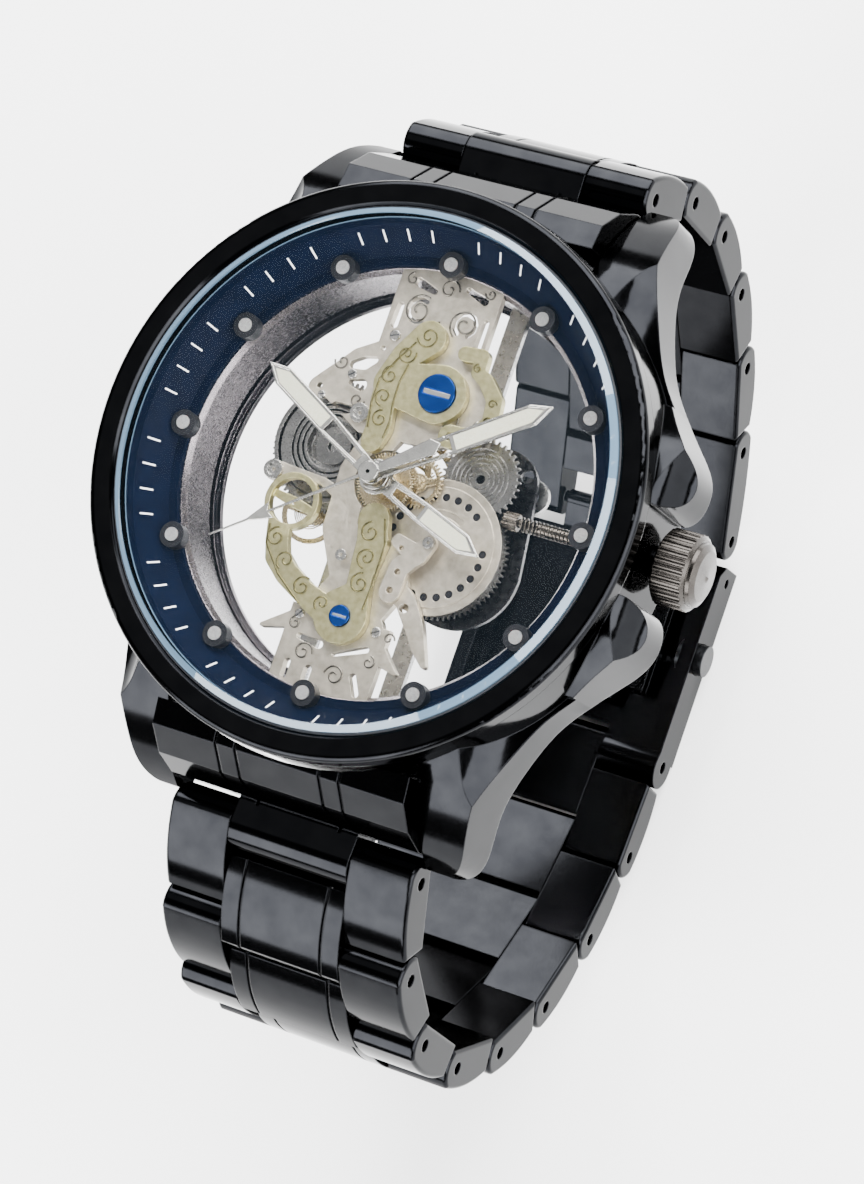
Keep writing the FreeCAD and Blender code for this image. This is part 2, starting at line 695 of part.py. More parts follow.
def make_escapement():
    x, y = ESCAPE_WHEEL
    corners = []
    for index in range(15):
        for share, radius in ((0.0, 0.85), (0.55, 1.25), (0.62, 1.22), (0.35, 0.85)):
            angle = 2 * math.pi * (index + share) / 15
            corners.append((x + radius * math.cos(angle), y + radius * math.sin(angle)))
    wheel = slab(corners, -4.95, 0.12).cut(tube(x, y, -5, 0.68, 0.4, 1))
    arms = strap([(x - 0.75, y, 0.1), (x + 0.75, y, 0.1)], -4.95, 0.12)
    reach = math.hypot(x, y) - 2.6
    pinion = gear(x, y, -5.25, 9, reach, 0.32, math.atan2(-y, -x))
    arbor = disc(x, y, -5.6, 0.12, 0.85)
    whole = wheel.multiFuse([arms, pinion, arbor]).removeSplitter()
    lift(shaped("escape_wheel", whole))

    px, py = PALLET_FORK
    bx, by = BALANCE
    toward = math.atan2(by - py, bx - px)
    tail = (px + 1.25 * math.cos(toward), py + 1.25 * math.sin(toward))
    lever = strap([(px, py, 0.28), (tail[0], tail[1], 0.16)], -4.95, 0.12)
    for side in (1, -1):
        angle = toward + math.pi - side * math.radians(58)
        jaw = (px + 0.85 * math.cos(angle), py + 0.85 * math.sin(angle))
        lever = lever.fuse(strap([(px, py, 0.22), (jaw[0], jaw[1], 0.14)], -4.95, 0.12))
    lever = lever.fuse(disc(px, py, -5.6, 0.1, 0.85)).removeSplitter()
    lift(shaped("pallet_fork", lever))

    rim = tube(bx, by, -4.68, 2.3, 1.95, 0.2)
    bar = strap([(bx - 2.1, by, 0.18), (bx, by, 0.3), (bx + 2.1, by, 0.18)], -4.68, 0.2)
    staff = disc(bx, by, -5.6, 0.14, 4.1)
    roller = disc(bx, by, -4.9, 0.3, 0.25)
    balance = rim.multiFuse([bar, staff, roller]).removeSplitter()
    hairspring = spiral(bx, by, -4.38, 0.18, 1.25, 7)
    return lift(shaped("balance_wheel", Part.makeCompound([balance, hairspring])))


def spiral(x, y, z, inner, outer, turns):
    """A flat coil spring as one ribbon."""
    count = turns * 18
    ribbon = 0.07
    near = []
    far = []
    for index in range(count + 1):
        angle = 2 * math.pi * turns * index / count
        radius = inner + (outer - inner) * index / count
        near.append((x + radius * math.cos(angle), y + radius * math.sin(angle)))
        far.append((x + (radius + ribbon) * math.cos(angle), y + (radius + ribbon) * math.sin(angle)))
    return slab(near + far[::-1], z, 0.08)


# ---------------------------------------------------------------- plates and bridges

def make_main_plate():
    """Nickel plate: a carved band from 12 to 6, with a shoulder over each barrel."""
    z = worth("plate_top") - worth("plate_thick")
    thick = worth("plate_thick")
    band = slab([(-4.1, 9.6), (-4.1, 15.9), (4.0, 15.9), (4.0, 9.6)], z, thick)
    foot = slab([(-3.7, -15.9), (-3.7, -10.0), (4.2, -10.0), (4.2, -15.9)], z, thick)
    shoulder = slab([(-4.1, 9.7), (-5.7, 8.7), (-8.2, 5.6), (-5.8, 4.3), (-3.4, 3.0), (2.6, 3.2),
                     (6.0, 4.6), (6.6, 7.0), (4.0, 9.7)], z, thick)
    waist = strap([(-1.0, 4.0, 1.4), (-2.6, 0.2, 1.1), (-2.2, -4.0, 1.3), (0.4, -7.4, 1.9),
                   (0.2, -11.0, 3.2)], z, thick)
    brace = strap([(2.2, -4.6, 1.0), (3.2, -6.8, 1.1), (1.4, -9.6, 1.6)], z, thick)
    corner = strap([(-7.5, 5.4, 0.75), (-5.8, 6.4, 1.4)], z, thick)
    finger = strap([(-2.4, -2.0, 0.5), (-4.6, -1.15, 0.3), (-7.0, -0.95, 0.26), (-8.6, -1.3, 0.75)], z,
                   thick)
    claws = [
        strap([(3.6, -7.0, 0.7), (4.6, -7.8, 0.75), (5.8, -9.3, 0.7), (6.6, -10.6, 0.5),
               (7.4, -11.7, 0.2)], z, thick),
        strap([(2.6, -10.2, 1.0), (3.2, -11.4, 0.85), (4.4, -12.2, 0.5), (5.5, -12.8, 0.15)], z, thick),
        strap([(-3.2, -8.0, 0.8), (-4.8, -9.7, 0.6), (-6.5, -11.7, 0.15)], z, thick),
        strap([(-3.4, -11.2, 0.6), (-5.5, -12.2, 0.15)], z, thick),
    ]
    plate = band.multiFuse([foot, shoulder, waist, brace, corner, finger] + claws)
    holes = [
        disc(0, 0, z, 2.35, thick), disc(MINUTE_WHEEL[0], MINUTE_WHEEL[1], z, 2.1, thick),
        disc(-7.4, 5.5, z, 0.22, thick), disc(-3.6, 9.3, z, 0.2, thick),
        strap([(-5.4, 7.6, 0.3), (-4.6, 7.9, 0.5), (-3.9, 8.3, 0.25)], z, thick),
        strap([(-5.1, 6.3, 0.22), (-4.3, 6.3, 0.45)], z, thick),
        strap([(-5.6, 4.2, 0.5), (-4.4, 4.4, 0.3)], z, thick),
        strap(arc_stations(-1.9, 12.6, 0.85, 60, 300, 0.17), z, thick),
        strap(arc_stations(1.9, 12.4, 0.85, -60, 240, 0.17), z, thick),
        strap([(-3.38, 12.6, 0.26), (-3.4, 11.2, 0.3)], z, thick),
        strap([(3.4, 12.9, 0.26), (3.4, 11.2, 0.28)], z, thick),
        strap([(-2.6, 14.6, 0.34), (-1.2, 14.2, 0.22)], z, thick),
        strap([(1.3, 14.9, 0.2), (2.8, 14.4, 0.3)], z, thick),
        strap([(-2.4, -12.2, 0.2), (-0.7, -12.4, 0.3)], z, thick),
        strap([(0.6, -12.8, 0.14), (2.9, -11.8, 0.24)], z, thick),
        strap([(-2.6, -14.2, 0.24), (-2.6, -15.2, 0.24)], z, thick),
        strap([(-0.9, -14.3, 0.3), (-0.9, -15.0, 0.3)], z, thick),
        strap([(2.6, -13.9, 0.26), (3.2, -15.0, 0.26)], z, thick),
        disc(0.3, -6.2, z, 0.45, thick), disc(3.0, -5.2, z, 0.3, thick),
        disc(4.6, -8.2, z, 0.35, thick), disc(-1.6, -9.4, z, 0.3, thick),
    ]
    plate = plate.cut(holes).removeSplitter()
    return lift(shaped("main_plate", keep_largest(plate)))


def keep_largest(shape):
    solids = sorted(shape.Solids, key=lambda solid: solid.Volume)
    return solids[-1]


def make_scroll_bridge():
    """Pierced nickel bridge between the main plate and the right barrel's arbor."""
    z = worth("plate_top") + 0.02
    thick = 0.45
    arm = strap([(2.7, -3.8, 0.5), (4.4, -4.4, 0.75), (5.0, -3.35, 0.55)], z, thick)
    leg = strap([(3.3, -7.4, 0.8), (3.4, -5.6, 0.75), (4.4, -4.4, 0.7)], z, thick)
    bridge = arm.fuse(leg)
    for x, y, radius in ((3.1, -4.2, 0.2), (3.4, -5.9, 0.24), (3.3, -7.3, 0.26)):
        bridge = bridge.cut(disc(x, y, z, radius, thick))
    return lift(shaped("scroll_bridge", bridge.removeSplitter()))


def make_rear_bridges():
    """Bridge under the train with two straight bars across the window, and the keyless plate."""
    z = worth("rear_top") - worth("rear_thick")
    thick = worth("rear_thick")
    bars = [slab([(x - half, -15.6), (x - half, 15.6), (x + half, 15.6), (x + half, -15.6)], z, thick)
            for x, half in BAR_STRIPS]
    pads = [
        strap([(4.0, -3.4, 1.6), (RIGHT_BARREL[0], RIGHT_BARREL[1], 1.9)], z, thick),
        strap([(4.4, -4.6, 0.7), (7.2, -5.4, 0.8)], z, thick),
        strap([(-3.4, 2.0, 1.5), (LEFT_BARREL[0], LEFT_BARREL[1], 1.7)], z, thick),
        strap([(-3.4, 0.0, 1.2), (0, 0, 1.1), (4.0, 0.0, 1.2)], z, thick),
        strap([(4.0, 5.0, 0.9), (THIRD_WHEEL[0], THIRD_WHEEL[1], 0.9), (-3.4, 5.0, 0.9)], z, thick),
        strap([(-3.4, -1.6, 0.9), (ESCAPE_WHEEL[0], ESCAPE_WHEEL[1], 0.7)], z, thick),
        strap([(-3.4, -2.6, 0.9), (PALLET_FORK[0], PALLET_FORK[1], 0.6), (BALANCE[0], BALANCE[1], 0.7)],
              z, thick),
        strap([(4.0, 2.2, 1.4), (9.4, 2.4, 1.3)], z, thick),
    ]
    bridge = bars[0].multiFuse(bars[1:] + pads)
    for x, y, radius in (CENTRE + (0.18,), THIRD_WHEEL + (0.23,), ESCAPE_WHEEL + (0.15,),
                         PALLET_FORK + (0.13,), BALANCE + (0.17,), (9.6, 2.4, 0.4)):
        bridge = bridge.cut(disc(x, y, z, radius, thick))
    posts = [disc(8.6, 2.4, z + thick, 0.55, 0.45), disc(7.2, -5.4, z + thick, 0.55, 0.45)]
    return lift(shaped("rear_bridges", bridge.multiFuse(posts + [keyless_plate()]).removeSplitter()))


def keyless_plate():
    """Dark plate behind the crown wheel and the right barrel, clear of the train."""
    z = worth("rear_top") + 0.45
    plate = strap([(7.3, 2.4, 2.75), (6.3, -3.9, 4.6)], z, 0.4)
    train = [disc(0, 0, z, 4.75, 0.4), disc(THIRD_WHEEL[0], THIRD_WHEEL[1], z, 4.75, 0.4)]
    holes = [disc(9.0, 3.6, z, 0.5, 0.4), disc(RIGHT_BARREL[0], RIGHT_BARREL[1], z, 0.45, 0.4)]
    return keep_largest(plate.cut(train + holes))


def make_upper_bridge():
    """Gilt S-shaped bridge with a ring around the large blued screw."""
    z = worth("bridge_top") - worth("bridge_thick")
    thick = worth("bridge_thick")
    arm = strap([(-0.1, 10.7, 1.3), (-1.4, 9.0, 1.05), (-2.0, 7.3, 1.0), (-1.9, 5.4, 0.95),
                 (-1.6, 3.6, 0.95),
                 (-1.75, 2.5, 0.8)], z, thick)
    wing = strap([(-1.6, 6.9, 1.5), (2.0, 7.0, 2.15)], z, thick)
    bridge = arm.fuse(wing).cut(disc(1.95, 7.0, z, 1.45, thick))
    return lift(shaped("upper_bridge", bridge.removeSplitter()))


def make_hook_bridge():
    """Gilt hook that curls from the upper bridge down to the right."""
    z = worth("bridge_top") - worth("bridge_thick")
    thick = worth("bridge_thick")
    hook = strap([(3.0, 10.3, 0.55), (4.3, 10.4, 0.55), (4.4, 9.2, 0.5), (5.2, 8.8, 0.55),
                  (6.3, 7.6, 0.6),
                  (6.5, 6.0, 0.6), (5.6, 4.6, 0.6), (3.9, 4.3, 0.85)], z, thick)
    hook = hook.cut(disc(3.9, 4.3, z, 0.3, thick))
    return lift(shaped("hook_bridge", hook.removeSplitter()))


def make_balance_cock():
    """Gilt V-shaped cock: a ring over the balance, two arms and the screw boss."""
    z = worth("bridge_top") - worth("bridge_thick")
    thick = worth("bridge_thick")
    x, y = BALANCE
    ring = disc(x, y, z, 2.1, thick)
    left = strap([(x - 0.4, y - 1.7, 0.85), (-6.25, -6.1, 0.85), (-5.8, -7.3, 0.88),
                  (-4.6, -8.3, 0.88), (-2.8, -9.25, 0.85), (-0.9, -10.0, 1.0)], z, thick)
    right = strap([(0.45, -10.1, 2.0), (1.1, -8.2, 0.92), (0.95, -7.1, 0.9), (0.9, -6.0, 1.0),
                   (0.9, -4.3, 1.15), (0.45, -2.8, 1.15)], z, thick)
    cock = ring.multiFuse([left, right]).cut(disc(x, y, z, 1.7, thick))
    bar = strap([(x - 1.85, y + 0.35, 0.26), (x, y, 0.4), (x + 1.85, y - 0.35, 0.26)], z, 0.3)
    cock = cock.fuse(bar).cut([disc(0.45, -10.1, z, 0.8, thick), disc(x, y, z, 0.2, thick)])
    return lift(shaped("balance_cock", cock.removeSplitter()))


def slotted_screw(x, y, top, radius, depth, slot_turn):
    """A flat-headed screw with a straight slot."""
    head = disc(x, y, top - depth, radius, depth)
    slot = Part.makeBox(radius * 1.55, radius * 0.3, 0.16,
                        Vector(-radius * 0.775, -radius * 0.15, top - 0.16))
    slot.rotate(Vector(0, 0, 0), Vector(0, 0, 1), slot_turn)
    slot.translate(Vector(x, y, 0))
    return head.cut(slot)


def make_screws():
    screws = [slotted_screw(1.95, 7.0, -0.62, 1.4, 0.85, 0),
              slotted_screw(0.45, -10.1, -0.62, 0.77, 0.85, 0)]
    return lift(shaped("blued_screws", Part.makeCompound(screws)))


def make_jewels():
    """Bearing jewels and small steel screw heads set in the plates."""
    top = worth("plate_top")
    rings = []
    for x, y in ((-3.6, 4.3), (-8.6, -1.3)):
        rings.append(tube(x, y, top, 0.72, 0.42, 0.3))
        rings.append(tube(x, y, top, 0.4, 0.15, 0.15))
    for x, y in ((-1.1, -5.9), (5.0, -3.35)):
        rings.append(tube(x, y, top + 0.48, 0.42, 0.14, 0.2))
    return lift(shaped("jewels", Part.makeCompound(rings)))


# ---------------------------------------------------------------- hands

def hand_outline(length, width, tail):
    half = width / 2
    return [(-0.55, -tail), (0.55, -tail), (0.6, 0.5), (half, length * 0.42), (half, length - 1.6),
            (0, length),
            (-half, length - 1.6), (-half, length * 0.42), (-0.6, 0.5)]


def clock_turn(shape, clock_angle):
    """Turn a shape drawn towards 12 o'clock to its clock angle."""
    shape.rotate(Vector(0, 0, 0), Vector(0, 0, 1), -clock_angle)
    return shape


def make_broad_hand(name, length, clock_angle, level, bore):
    """A pointed baton: two open rails near the hub, a solid outer half."""
    width = worth("hand_width")
    thick = worth("hand_thick")
    blade = slab(hand_outline(length, width, 0.4), level, thick)
    window = slab([(-0.28, 1.8), (0.28, 1.8), (width / 2 - 0.26, length * 0.44),
                   (0.26 - width / 2, length * 0.44)],
                  level, thick)
    blade = blade.cut(window).fuse(disc(0, 0, level, bore + 0.4, thick))
    blade = blade.cut(disc(0, 0, level, bore, thick)).removeSplitter()
    return lift(shaped(name, clock_turn(blade, clock_angle)))


def make_seconds_hand():
    level = 1.45
    thick = 0.14
    needle = slab([(-0.12, 0), (0.12, 0), (0.05, 12.7), (-0.05, 12.7)], level, thick)
    arrow = slab([(0, 9.9), (0.62, 7.7), (0.12, 7.95), (-0.12, 7.95), (-0.62, 7.7)], level, thick)
    tail = slab([(-0.25, 0.2), (0.25, 0.2), (0.6, -5.0), (0, -5.6), (-0.6, -5.0)], level, thick)
    hub = disc(0, 0, level, 0.75, 0.3)
    hand = needle.multiFuse([arrow, tail, hub]).cut(disc(0, 0, level - 1, 0.15, 1.25)).removeSplitter()
    return lift(shaped("seconds_hand", clock_turn(hand, 234)))


# ---------------------------------------------------------------- the bracelet

def side_outline(start, end, start_round, end_round, inset=0.0):
    """Side outline of a bracelet piece along its own axis: flat inside, crowned outside."""
    half = worth("link_half")
    top = half - inset
    back = start
    front = end
    edges = []
    if start_round:
        back = start - math.sqrt(start_round ** 2 - half ** 2)
        low, high = Vector(0, back, -half), Vector(0, back, top)
        edges.append(Part.Arc(high, Vector(0, start - start_round + inset, 0), low).toShape())
    else:
        low, high = Vector(0, back, -half), Vector(0, back, top - 0.3)
        edges.append(Part.makeLine(high, low))
    if end_round:
        front = end + math.sqrt(end_round ** 2 - half ** 2)
        low_end, high_end = Vector(0, front, -half), Vector(0, front, top)
        edges.append(Part.makeLine(low, low_end))
        edges.append(Part.Arc(low_end, Vector(0, end + end_round - inset, 0), high_end).toShape())
    else:
        low_end, high_end = Vector(0, front, -half), Vector(0, front, top - 0.3)
        edges.append(Part.makeLine(low, low_end))
        edges.append(Part.makeLine(low_end, high_end))
    crest = Vector(0, (front + back) / 2, top + worth("link_bulge"))
    edges.append(Part.Arc(high_end, crest, high).toShape())
    return Part.Wire(edges)


def side_piece(x_low, x_high, outline):
    solid = Part.Face(outline).extrude(Vector(x_high - x_low, 0, 0))
    solid.translate(Vector(x_low, 0, 0))
    return solid


def rod(x_low, x_high, y, radius):
    return Part.makeCylinder(radius, x_high - x_low, Vector(x_low, y, 0), Vector(1, 0, 0))


def soft_sided(piece, x_face):
    """Round the edges of a bracelet piece's outer side face."""
    rim = [edge for edge in piece.Edges
           if abs(edge.BoundBox.XMin - x_face) < 0.001 and abs(edge.BoundBox.XMax - x_face) < 0.001]
    return piece.makeFillet(0.3, rim)


def link_shapes(last_before_clasp):
    """Two outer pieces, the grooved centre piece and two pins, lying along +Y from the first pin."""
    pitch = worth("pitch")
    band = worth("band_half")
    middle = worth("centre_half")
    pin = worth("pin_radius")
    inner = middle + worth("side_gap")
    half_pin = band - worth("pin_inset")
    hidden = worth("hidden_pin")
    outer_ends = (0, pitch - worth("outer_stop"), worth("knuckle_radius"), 0)
    centre_ends = (worth("centre_start"), pitch, 0, worth("tongue_radius"))
    if last_before_clasp:
        outer_ends = (0, pitch, worth("knuckle_radius"), 1.6)
        centre_ends = (worth("centre_start"), pitch - 3.0, 0, 0)
    shapes = []
    for side in (1, -1):
        low, high = sorted((side * inner, side * band))
        piece = soft_sided(side_piece(low, high, side_outline(*outer_ends)), side * band)
        piece = piece.cut([rod(low, high, 0, pin), rod(-hidden, hidden, pitch / 2, pin)])
        if last_before_clasp:
            piece = piece.cut(rod(low, high, pitch, pin))
        shapes.append(piece)
    centre = side_piece(-middle, middle, side_outline(*centre_ends))
    for side in (1, -1):
        left = side * (middle - 1.5) - 0.11
        around = side_piece(left, left + 0.22, side_outline(*centre_ends))
        centre = centre.cut(around.cut(side_piece(left, left + 0.22,
                                                  side_outline(*centre_ends, inset=0.2))))
    if not last_before_clasp:
        centre = centre.cut(rod(-middle, middle, pitch, pin + 0.06))
    shapes.append(centre.cut(rod(-middle, middle, pitch / 2, pin)))
    shapes.append(rod(-half_pin, half_pin, 0, pin))
    shapes.append(rod(-hidden, hidden, pitch / 2, pin))
    return Part.makeCompound(shapes)


def chain(bends, side):
    """Pin places and slopes from the case to the clasp: (y, z, slope in degrees)."""
    y = side * worth("pivot_reach")
    z = -worth("pivot_drop")
    slope = 0
    stations = []
    for bend in bends:
        slope += bend
        stations.append((y, z, slope))
        y += side * worth("pitch") * math.cos(math.radians(slope))
        z -= worth("pitch") * math.sin(math.radians(slope))
    stations.append((y, z, slope))
    return stations


def make_links(prefix, bends, side):
    """One node for each row; the master row is turned about X to the row's slope."""
    for index, (y, z, slope) in enumerate(chain(bends, side)[:-1], start=1):
        last = side > 0 and index == len(bends)
        obj = shaped("%s_%d" % (prefix, index), link_shapes(last))
        turn = Rotation(Vector(1, 0, 0), -slope)
        if side < 0:
            turn = Rotation(Vector(0, 0, 1), 180) * turn
        obj.Placement = Placement(Vector(0, y, z + worth("dial_level")), turn)


def make_end_link(name, side):
    """Fills the gap between two lugs and carries the first bracelet pin in its tongue."""
    reach = worth("pivot_reach")
    drop = -worth("pivot_drop")
    half = worth("link_half")
    side_points = [(19.5, 0.7), (21.4, 0.2), (23.1, -2.2), (24.05, -5.2), (24.05, -8.6), (22.6, -9.0),
                   (20.8, -7.4), (19.5, -6.3)]
    corners = [Vector(-10.2, y, z) for y, z in side_points]
    block = Part.Face(Part.makePolygon(corners + corners[:1])).extrude(Vector(20.4, 0, 0))
    block = block.cut(Part.makeCylinder(21.15, 20, Vector(0, 0, -10)))
    tongue_points = [(22.0, drop + half), (reach, drop + half + 0.35), (reach, drop - half - 0.35),
                     (22.0, drop - half + 0.3)]
    middle = worth("centre_half")
    corners = [Vector(-middle, y, z) for y, z in tongue_points]
    tongue = Part.Face(Part.makePolygon(corners + corners[:1])).extrude(Vector(2 * middle, 0, 0))
    eye = Part.makeCylinder(1.85, 2 * middle, Vector(-middle, reach, drop), Vector(1, 0, 0))
    whole = block.multiFuse([tongue, eye]).removeSplitter()
    whole = whole.cut(Part.makeCylinder(worth("pin_radius") + 0.06, 22, Vector(-11, reach, drop),
                                        Vector(1, 0, 0)))
    whole = whole.cut(Part.makeCylinder(0.6, 22, Vector(-11, BAR_PLACE[0], BAR_PLACE[1]),
                                        Vector(1, 0, 0)))
    groove_path = [
        (19, 1.2), (21.6, 0.6), (23.4, -2.0), (24.4, -5.2), (24.4, -9), (23.9, -9), (23.9, -5.3),
        (22.95, -2.35), (21.3, -0.05), (19, 0.5),
    ]
    for x in (-5.0, -3.4, 3.4, 5.0):
        whole = whole.cut(x_prism(groove_path, x - 0.12, x + 0.12))
    if side < 0:
        whole.rotate(Vector(0, 0, 0), Vector(0, 0, 1), 180)
    return lift(shaped(name, keep_largest(whole)))


# ---------------------------------------------------------------- the folding clasp

def clasp_pivots():
    """The clasp's pivots as (y, z) at the dial level: both bracelet ends, then its own two hinges."""
    six_end = chain(BENDS_SIX, -1)[-1]
    twelve_end = chain(BENDS_TWELVE, 1)[-1]
    floor = worth("clasp_face")
    return six_end[:2], twelve_end[:2], (6.0, floor + 1.75), (-5.4, floor + 2.1)


def x_prism(points, x_low, x_high):
    corners = [Vector(x_low, y, z) for y, z in points]
    return Part.Face(Part.makePolygon(corners + corners[:1])).extrude(Vector(x_high - x_low, 0, 0))


def x_rod(x_low, x_high, at, radius):
    return Part.makeCylinder(radius, x_high - x_low, Vector(x_low, at[0], at[1]), Vector(1, 0, 0))


BUTTON_PLACE = (-0.6, 2.0)


def make_clasp_cover():
    """Outer shell of the clasp: floor, two side walls, two eyes at the 6 o'clock end."""
    six, twelve, hinge, fold = clasp_pivots()
    band = worth("band_half")
    floor = worth("clasp_face")
    inside = floor + worth("cover_floor")
    top = floor + 3.7
    end = 7.15
    outer = [(six[0] + 0.4, floor), (end, floor), (end, top - 0.9), (end - 0.9, top),
             (six[0] + 0.4, top)]
    shell = x_prism(outer, -band, band)
    eyes = x_rod(-band, band, six, 1.8)
    shell = shell.fuse(eyes)
    inner_wall = band - worth("clasp_wall")
    middle = worth("centre_half") + worth("side_gap")
    cuts = [
        x_prism([(six[0] + 2.1, inside), (12, inside), (12, top + 1), (six[0] + 2.1, top + 1)],
                -inner_wall, inner_wall),
        x_prism([(six[0] - 3, floor - 1), (six[0] + 2.05, floor - 1), (six[0] + 2.05, top + 1),
                 (six[0] - 3, top + 1)],
                -middle, middle),
        x_prism([(hinge[0] + 0.2, floor - 1), (12, floor - 1), (12, top + 1),
                 (hinge[0] + 0.2, top + 1)], -middle, middle),
        x_rod(-band - 1, band + 1, six, worth("pin_radius")),
        x_rod(-band - 1, band + 1, hinge, 0.4),
        x_rod(-band - 1, band + 1, (BUTTON_PLACE[0], floor + BUTTON_PLACE[1]),
              worth("button_radius") + 0.05),
    ]
    shell = shell.cut(cuts).removeSplitter()
    half_pin = band - worth("pin_inset")
    pins = [x_rod(-half_pin, half_pin, six, worth("pin_radius")),
            x_rod(-half_pin, half_pin, hinge, 0.4)]
    return lift(shaped("clasp_cover", Part.makeCompound([shell] + pins)))


def make_inner_blade():
    """First folding blade, hinged in the cover and folded back over its floor."""
    six, twelve, hinge, fold = clasp_pivots()
    low = worth("clasp_face") + worth("cover_floor") + 0.25
    high = low + worth("blade_thick")
    blade = x_prism([(fold[0] + 0.9, low), (hinge[0], low), (hinge[0], high), (fold[0] + 0.9, high)],
                    -6.5, 6.5)
    neck = x_prism([(fold[0], low), (fold[0] + 1.0, low), (fold[0] + 1.0, high), (fold[0], high)], -1.9,
                   1.9)
    knuckles = [x_rod(-1.9, 1.9, fold, 0.65), x_rod(-6.5, 6.5, hinge, 0.7)]
    whole = blade.multiFuse([neck] + knuckles).removeSplitter()
    whole = whole.cut([x_rod(-7, 7, fold, 0.36), x_rod(-7, 7, hinge, 0.46)])
    return lift(shaped("clasp_inner_blade", whole))


def make_outer_blade():
    """Second folding blade: from the fold out to the 12 o'clock end of the bracelet."""
    six, twelve, hinge, fold = clasp_pivots()
    low = worth("clasp_face") + worth("cover_floor") + worth("blade_thick") + 0.45
    high = low + worth("blade_thick")
    blade = x_prism([(fold[0] + 0.9, low + 0.2), (hinge[0] - 0.6, low + 0.2),
                     (hinge[0] - 0.6, high + 0.1),
                     (fold[0] + 0.9, high + 0.1)], -6.5, 6.5)
    forks = []
    for x_low, x_high in ((2.0, 4.0), (-4.0, -2.0)):
        fork = x_prism([(fold[0], low + 0.1), (fold[0] + 1.0, low + 0.2), (fold[0] + 1.0, high + 0.1),
                        (fold[0], high)],
                       x_low, x_high)
        forks.append(fork.fuse(x_rod(x_low, x_high, fold, 0.65)))
    nose = x_prism([
        (hinge[0] - 0.8, low + 0.25), (hinge[0] + 0.9, low + 0.45), (twelve[0], twelve[1] - 0.68),
        (twelve[0], twelve[1] + 0.68), (hinge[0] + 0.9, high + 0.5), (hinge[0] - 0.8, high + 0.1),
    ], -4.6, 4.6)
    eye = x_rod(-4.6, 4.6, twelve, 0.7)
    whole = blade.multiFuse(forks + [nose, eye]).removeSplitter()
    whole = whole.cut([x_rod(-7, 7, fold, 0.3), x_rod(-7, 7, twelve, 0.35)])
    pins = [x_rod(-4.0, 4.0, fold, 0.3), x_rod(-4.6, 4.6, twelve, 0.35)]
    return lift(shaped("clasp_outer_blade", Part.makeCompound([whole] + pins)))


def make_buttons():
    """Push buttons in the cover's side walls."""
    band = worth("band_half")
    radius = worth("button_radius")
    at = (BUTTON_PLACE[0], worth("clasp_face") + BUTTON_PLACE[1])
    for name, side in (("clasp_button_right", 1), ("clasp_button_left", -1)):
        low, high = sorted((side * (band - 1.7), side * (band + 0.65)))
        lift(shaped(name, x_rod(low, high, at, radius)))


# ---------------------------------------------------------------- build and export

def build():
    make_mid_case()
    make_spring_bars()
    make_bezel()
    make_crystal()
    make_crystal_gasket()
    make_dial_ring()
    make_movement_ring()
    make_case_back()
    make_case_back_crystal()
    make_markers()
    make_crown()
    make_winding_stem()
    make_winding_pinion()
    make_crown_wheel()
    make_ratchet_wheel()
    make_barrel("barrel_left", LEFT_BARREL, -2.9,
                math.atan2(-LEFT_BARREL[1], -LEFT_BARREL[0]) + half_step(BARREL_TEETH))
    make_barrel("barrel_right", RIGHT_BARREL, -2.9, right_barrel_lead())
    make_center_wheel()
    make_third_wheel()
    make_fourth_wheel()
    make_hour_work()
    make_escapement()
    make_main_plate()
    make_scroll_bridge()
    make_rear_bridges()
    make_upper_bridge()
    make_hook_bridge()
    make_balance_cock()
    make_screws()
    make_jewels()
    make_broad_hand("dual_time_hand", 10.1, 110.2, -0.05, 0.88)
    make_broad_hand("hour_hand", 12.3, 298.6, 0.3, 0.62)
    make_broad_hand("minute_hand", 14.0, 55.4, 0.9, 0.36)
    make_seconds_hand()
    make_end_link("end_link_12", 1)
    make_end_link("end_link_6", -1)
    make_links("link_12", BENDS_TWELVE, 1)
    make_links("link_6", BENDS_SIX, -1)
    make_clasp_cover()
    make_inner_blade()
    make_outer_blade()
    make_buttons()


def right_barrel_lead():
    """Turns the right barrel so that a gap faces the centre pinion's nearest tooth."""
    toward = math.atan2(RIGHT_BARREL[1], RIGHT_BARREL[0])
    first = math.atan2(LEFT_BARREL[1], LEFT_BARREL[0])
    pinion_step = 2 * math.pi / CENTRE_TEETH
    offset = (toward - first) % pinion_step
    return toward + math.pi + half_step(BARREL_TEETH) + offset * CENTRE_TEETH / BARREL_TEETH


def export():
    os.makedirs("parts", exist_ok=True)
    inner = {item.Name for obj in doc.Objects for item in obj.OutList}
    for obj in doc.Objects:
        if obj.Name in inner or not hasattr(obj, "Shape"):
            continue
        if obj.TypeId.startswith("Spreadsheet"):
            continue
        if "Invalid" in obj.State or "Error" in obj.State or obj.Shape.isNull() or not obj.Shape.isValid():
            raise RuntimeError("bad shape: %s %s" % (obj.Name, obj.State))
        obj.Shape.exportStep("parts/%s.step" % obj.Label)


build()
doc.recompute()
export()
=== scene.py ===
import math

import bmesh
import bpy
from mathutils import Matrix, Quaternion, Vector


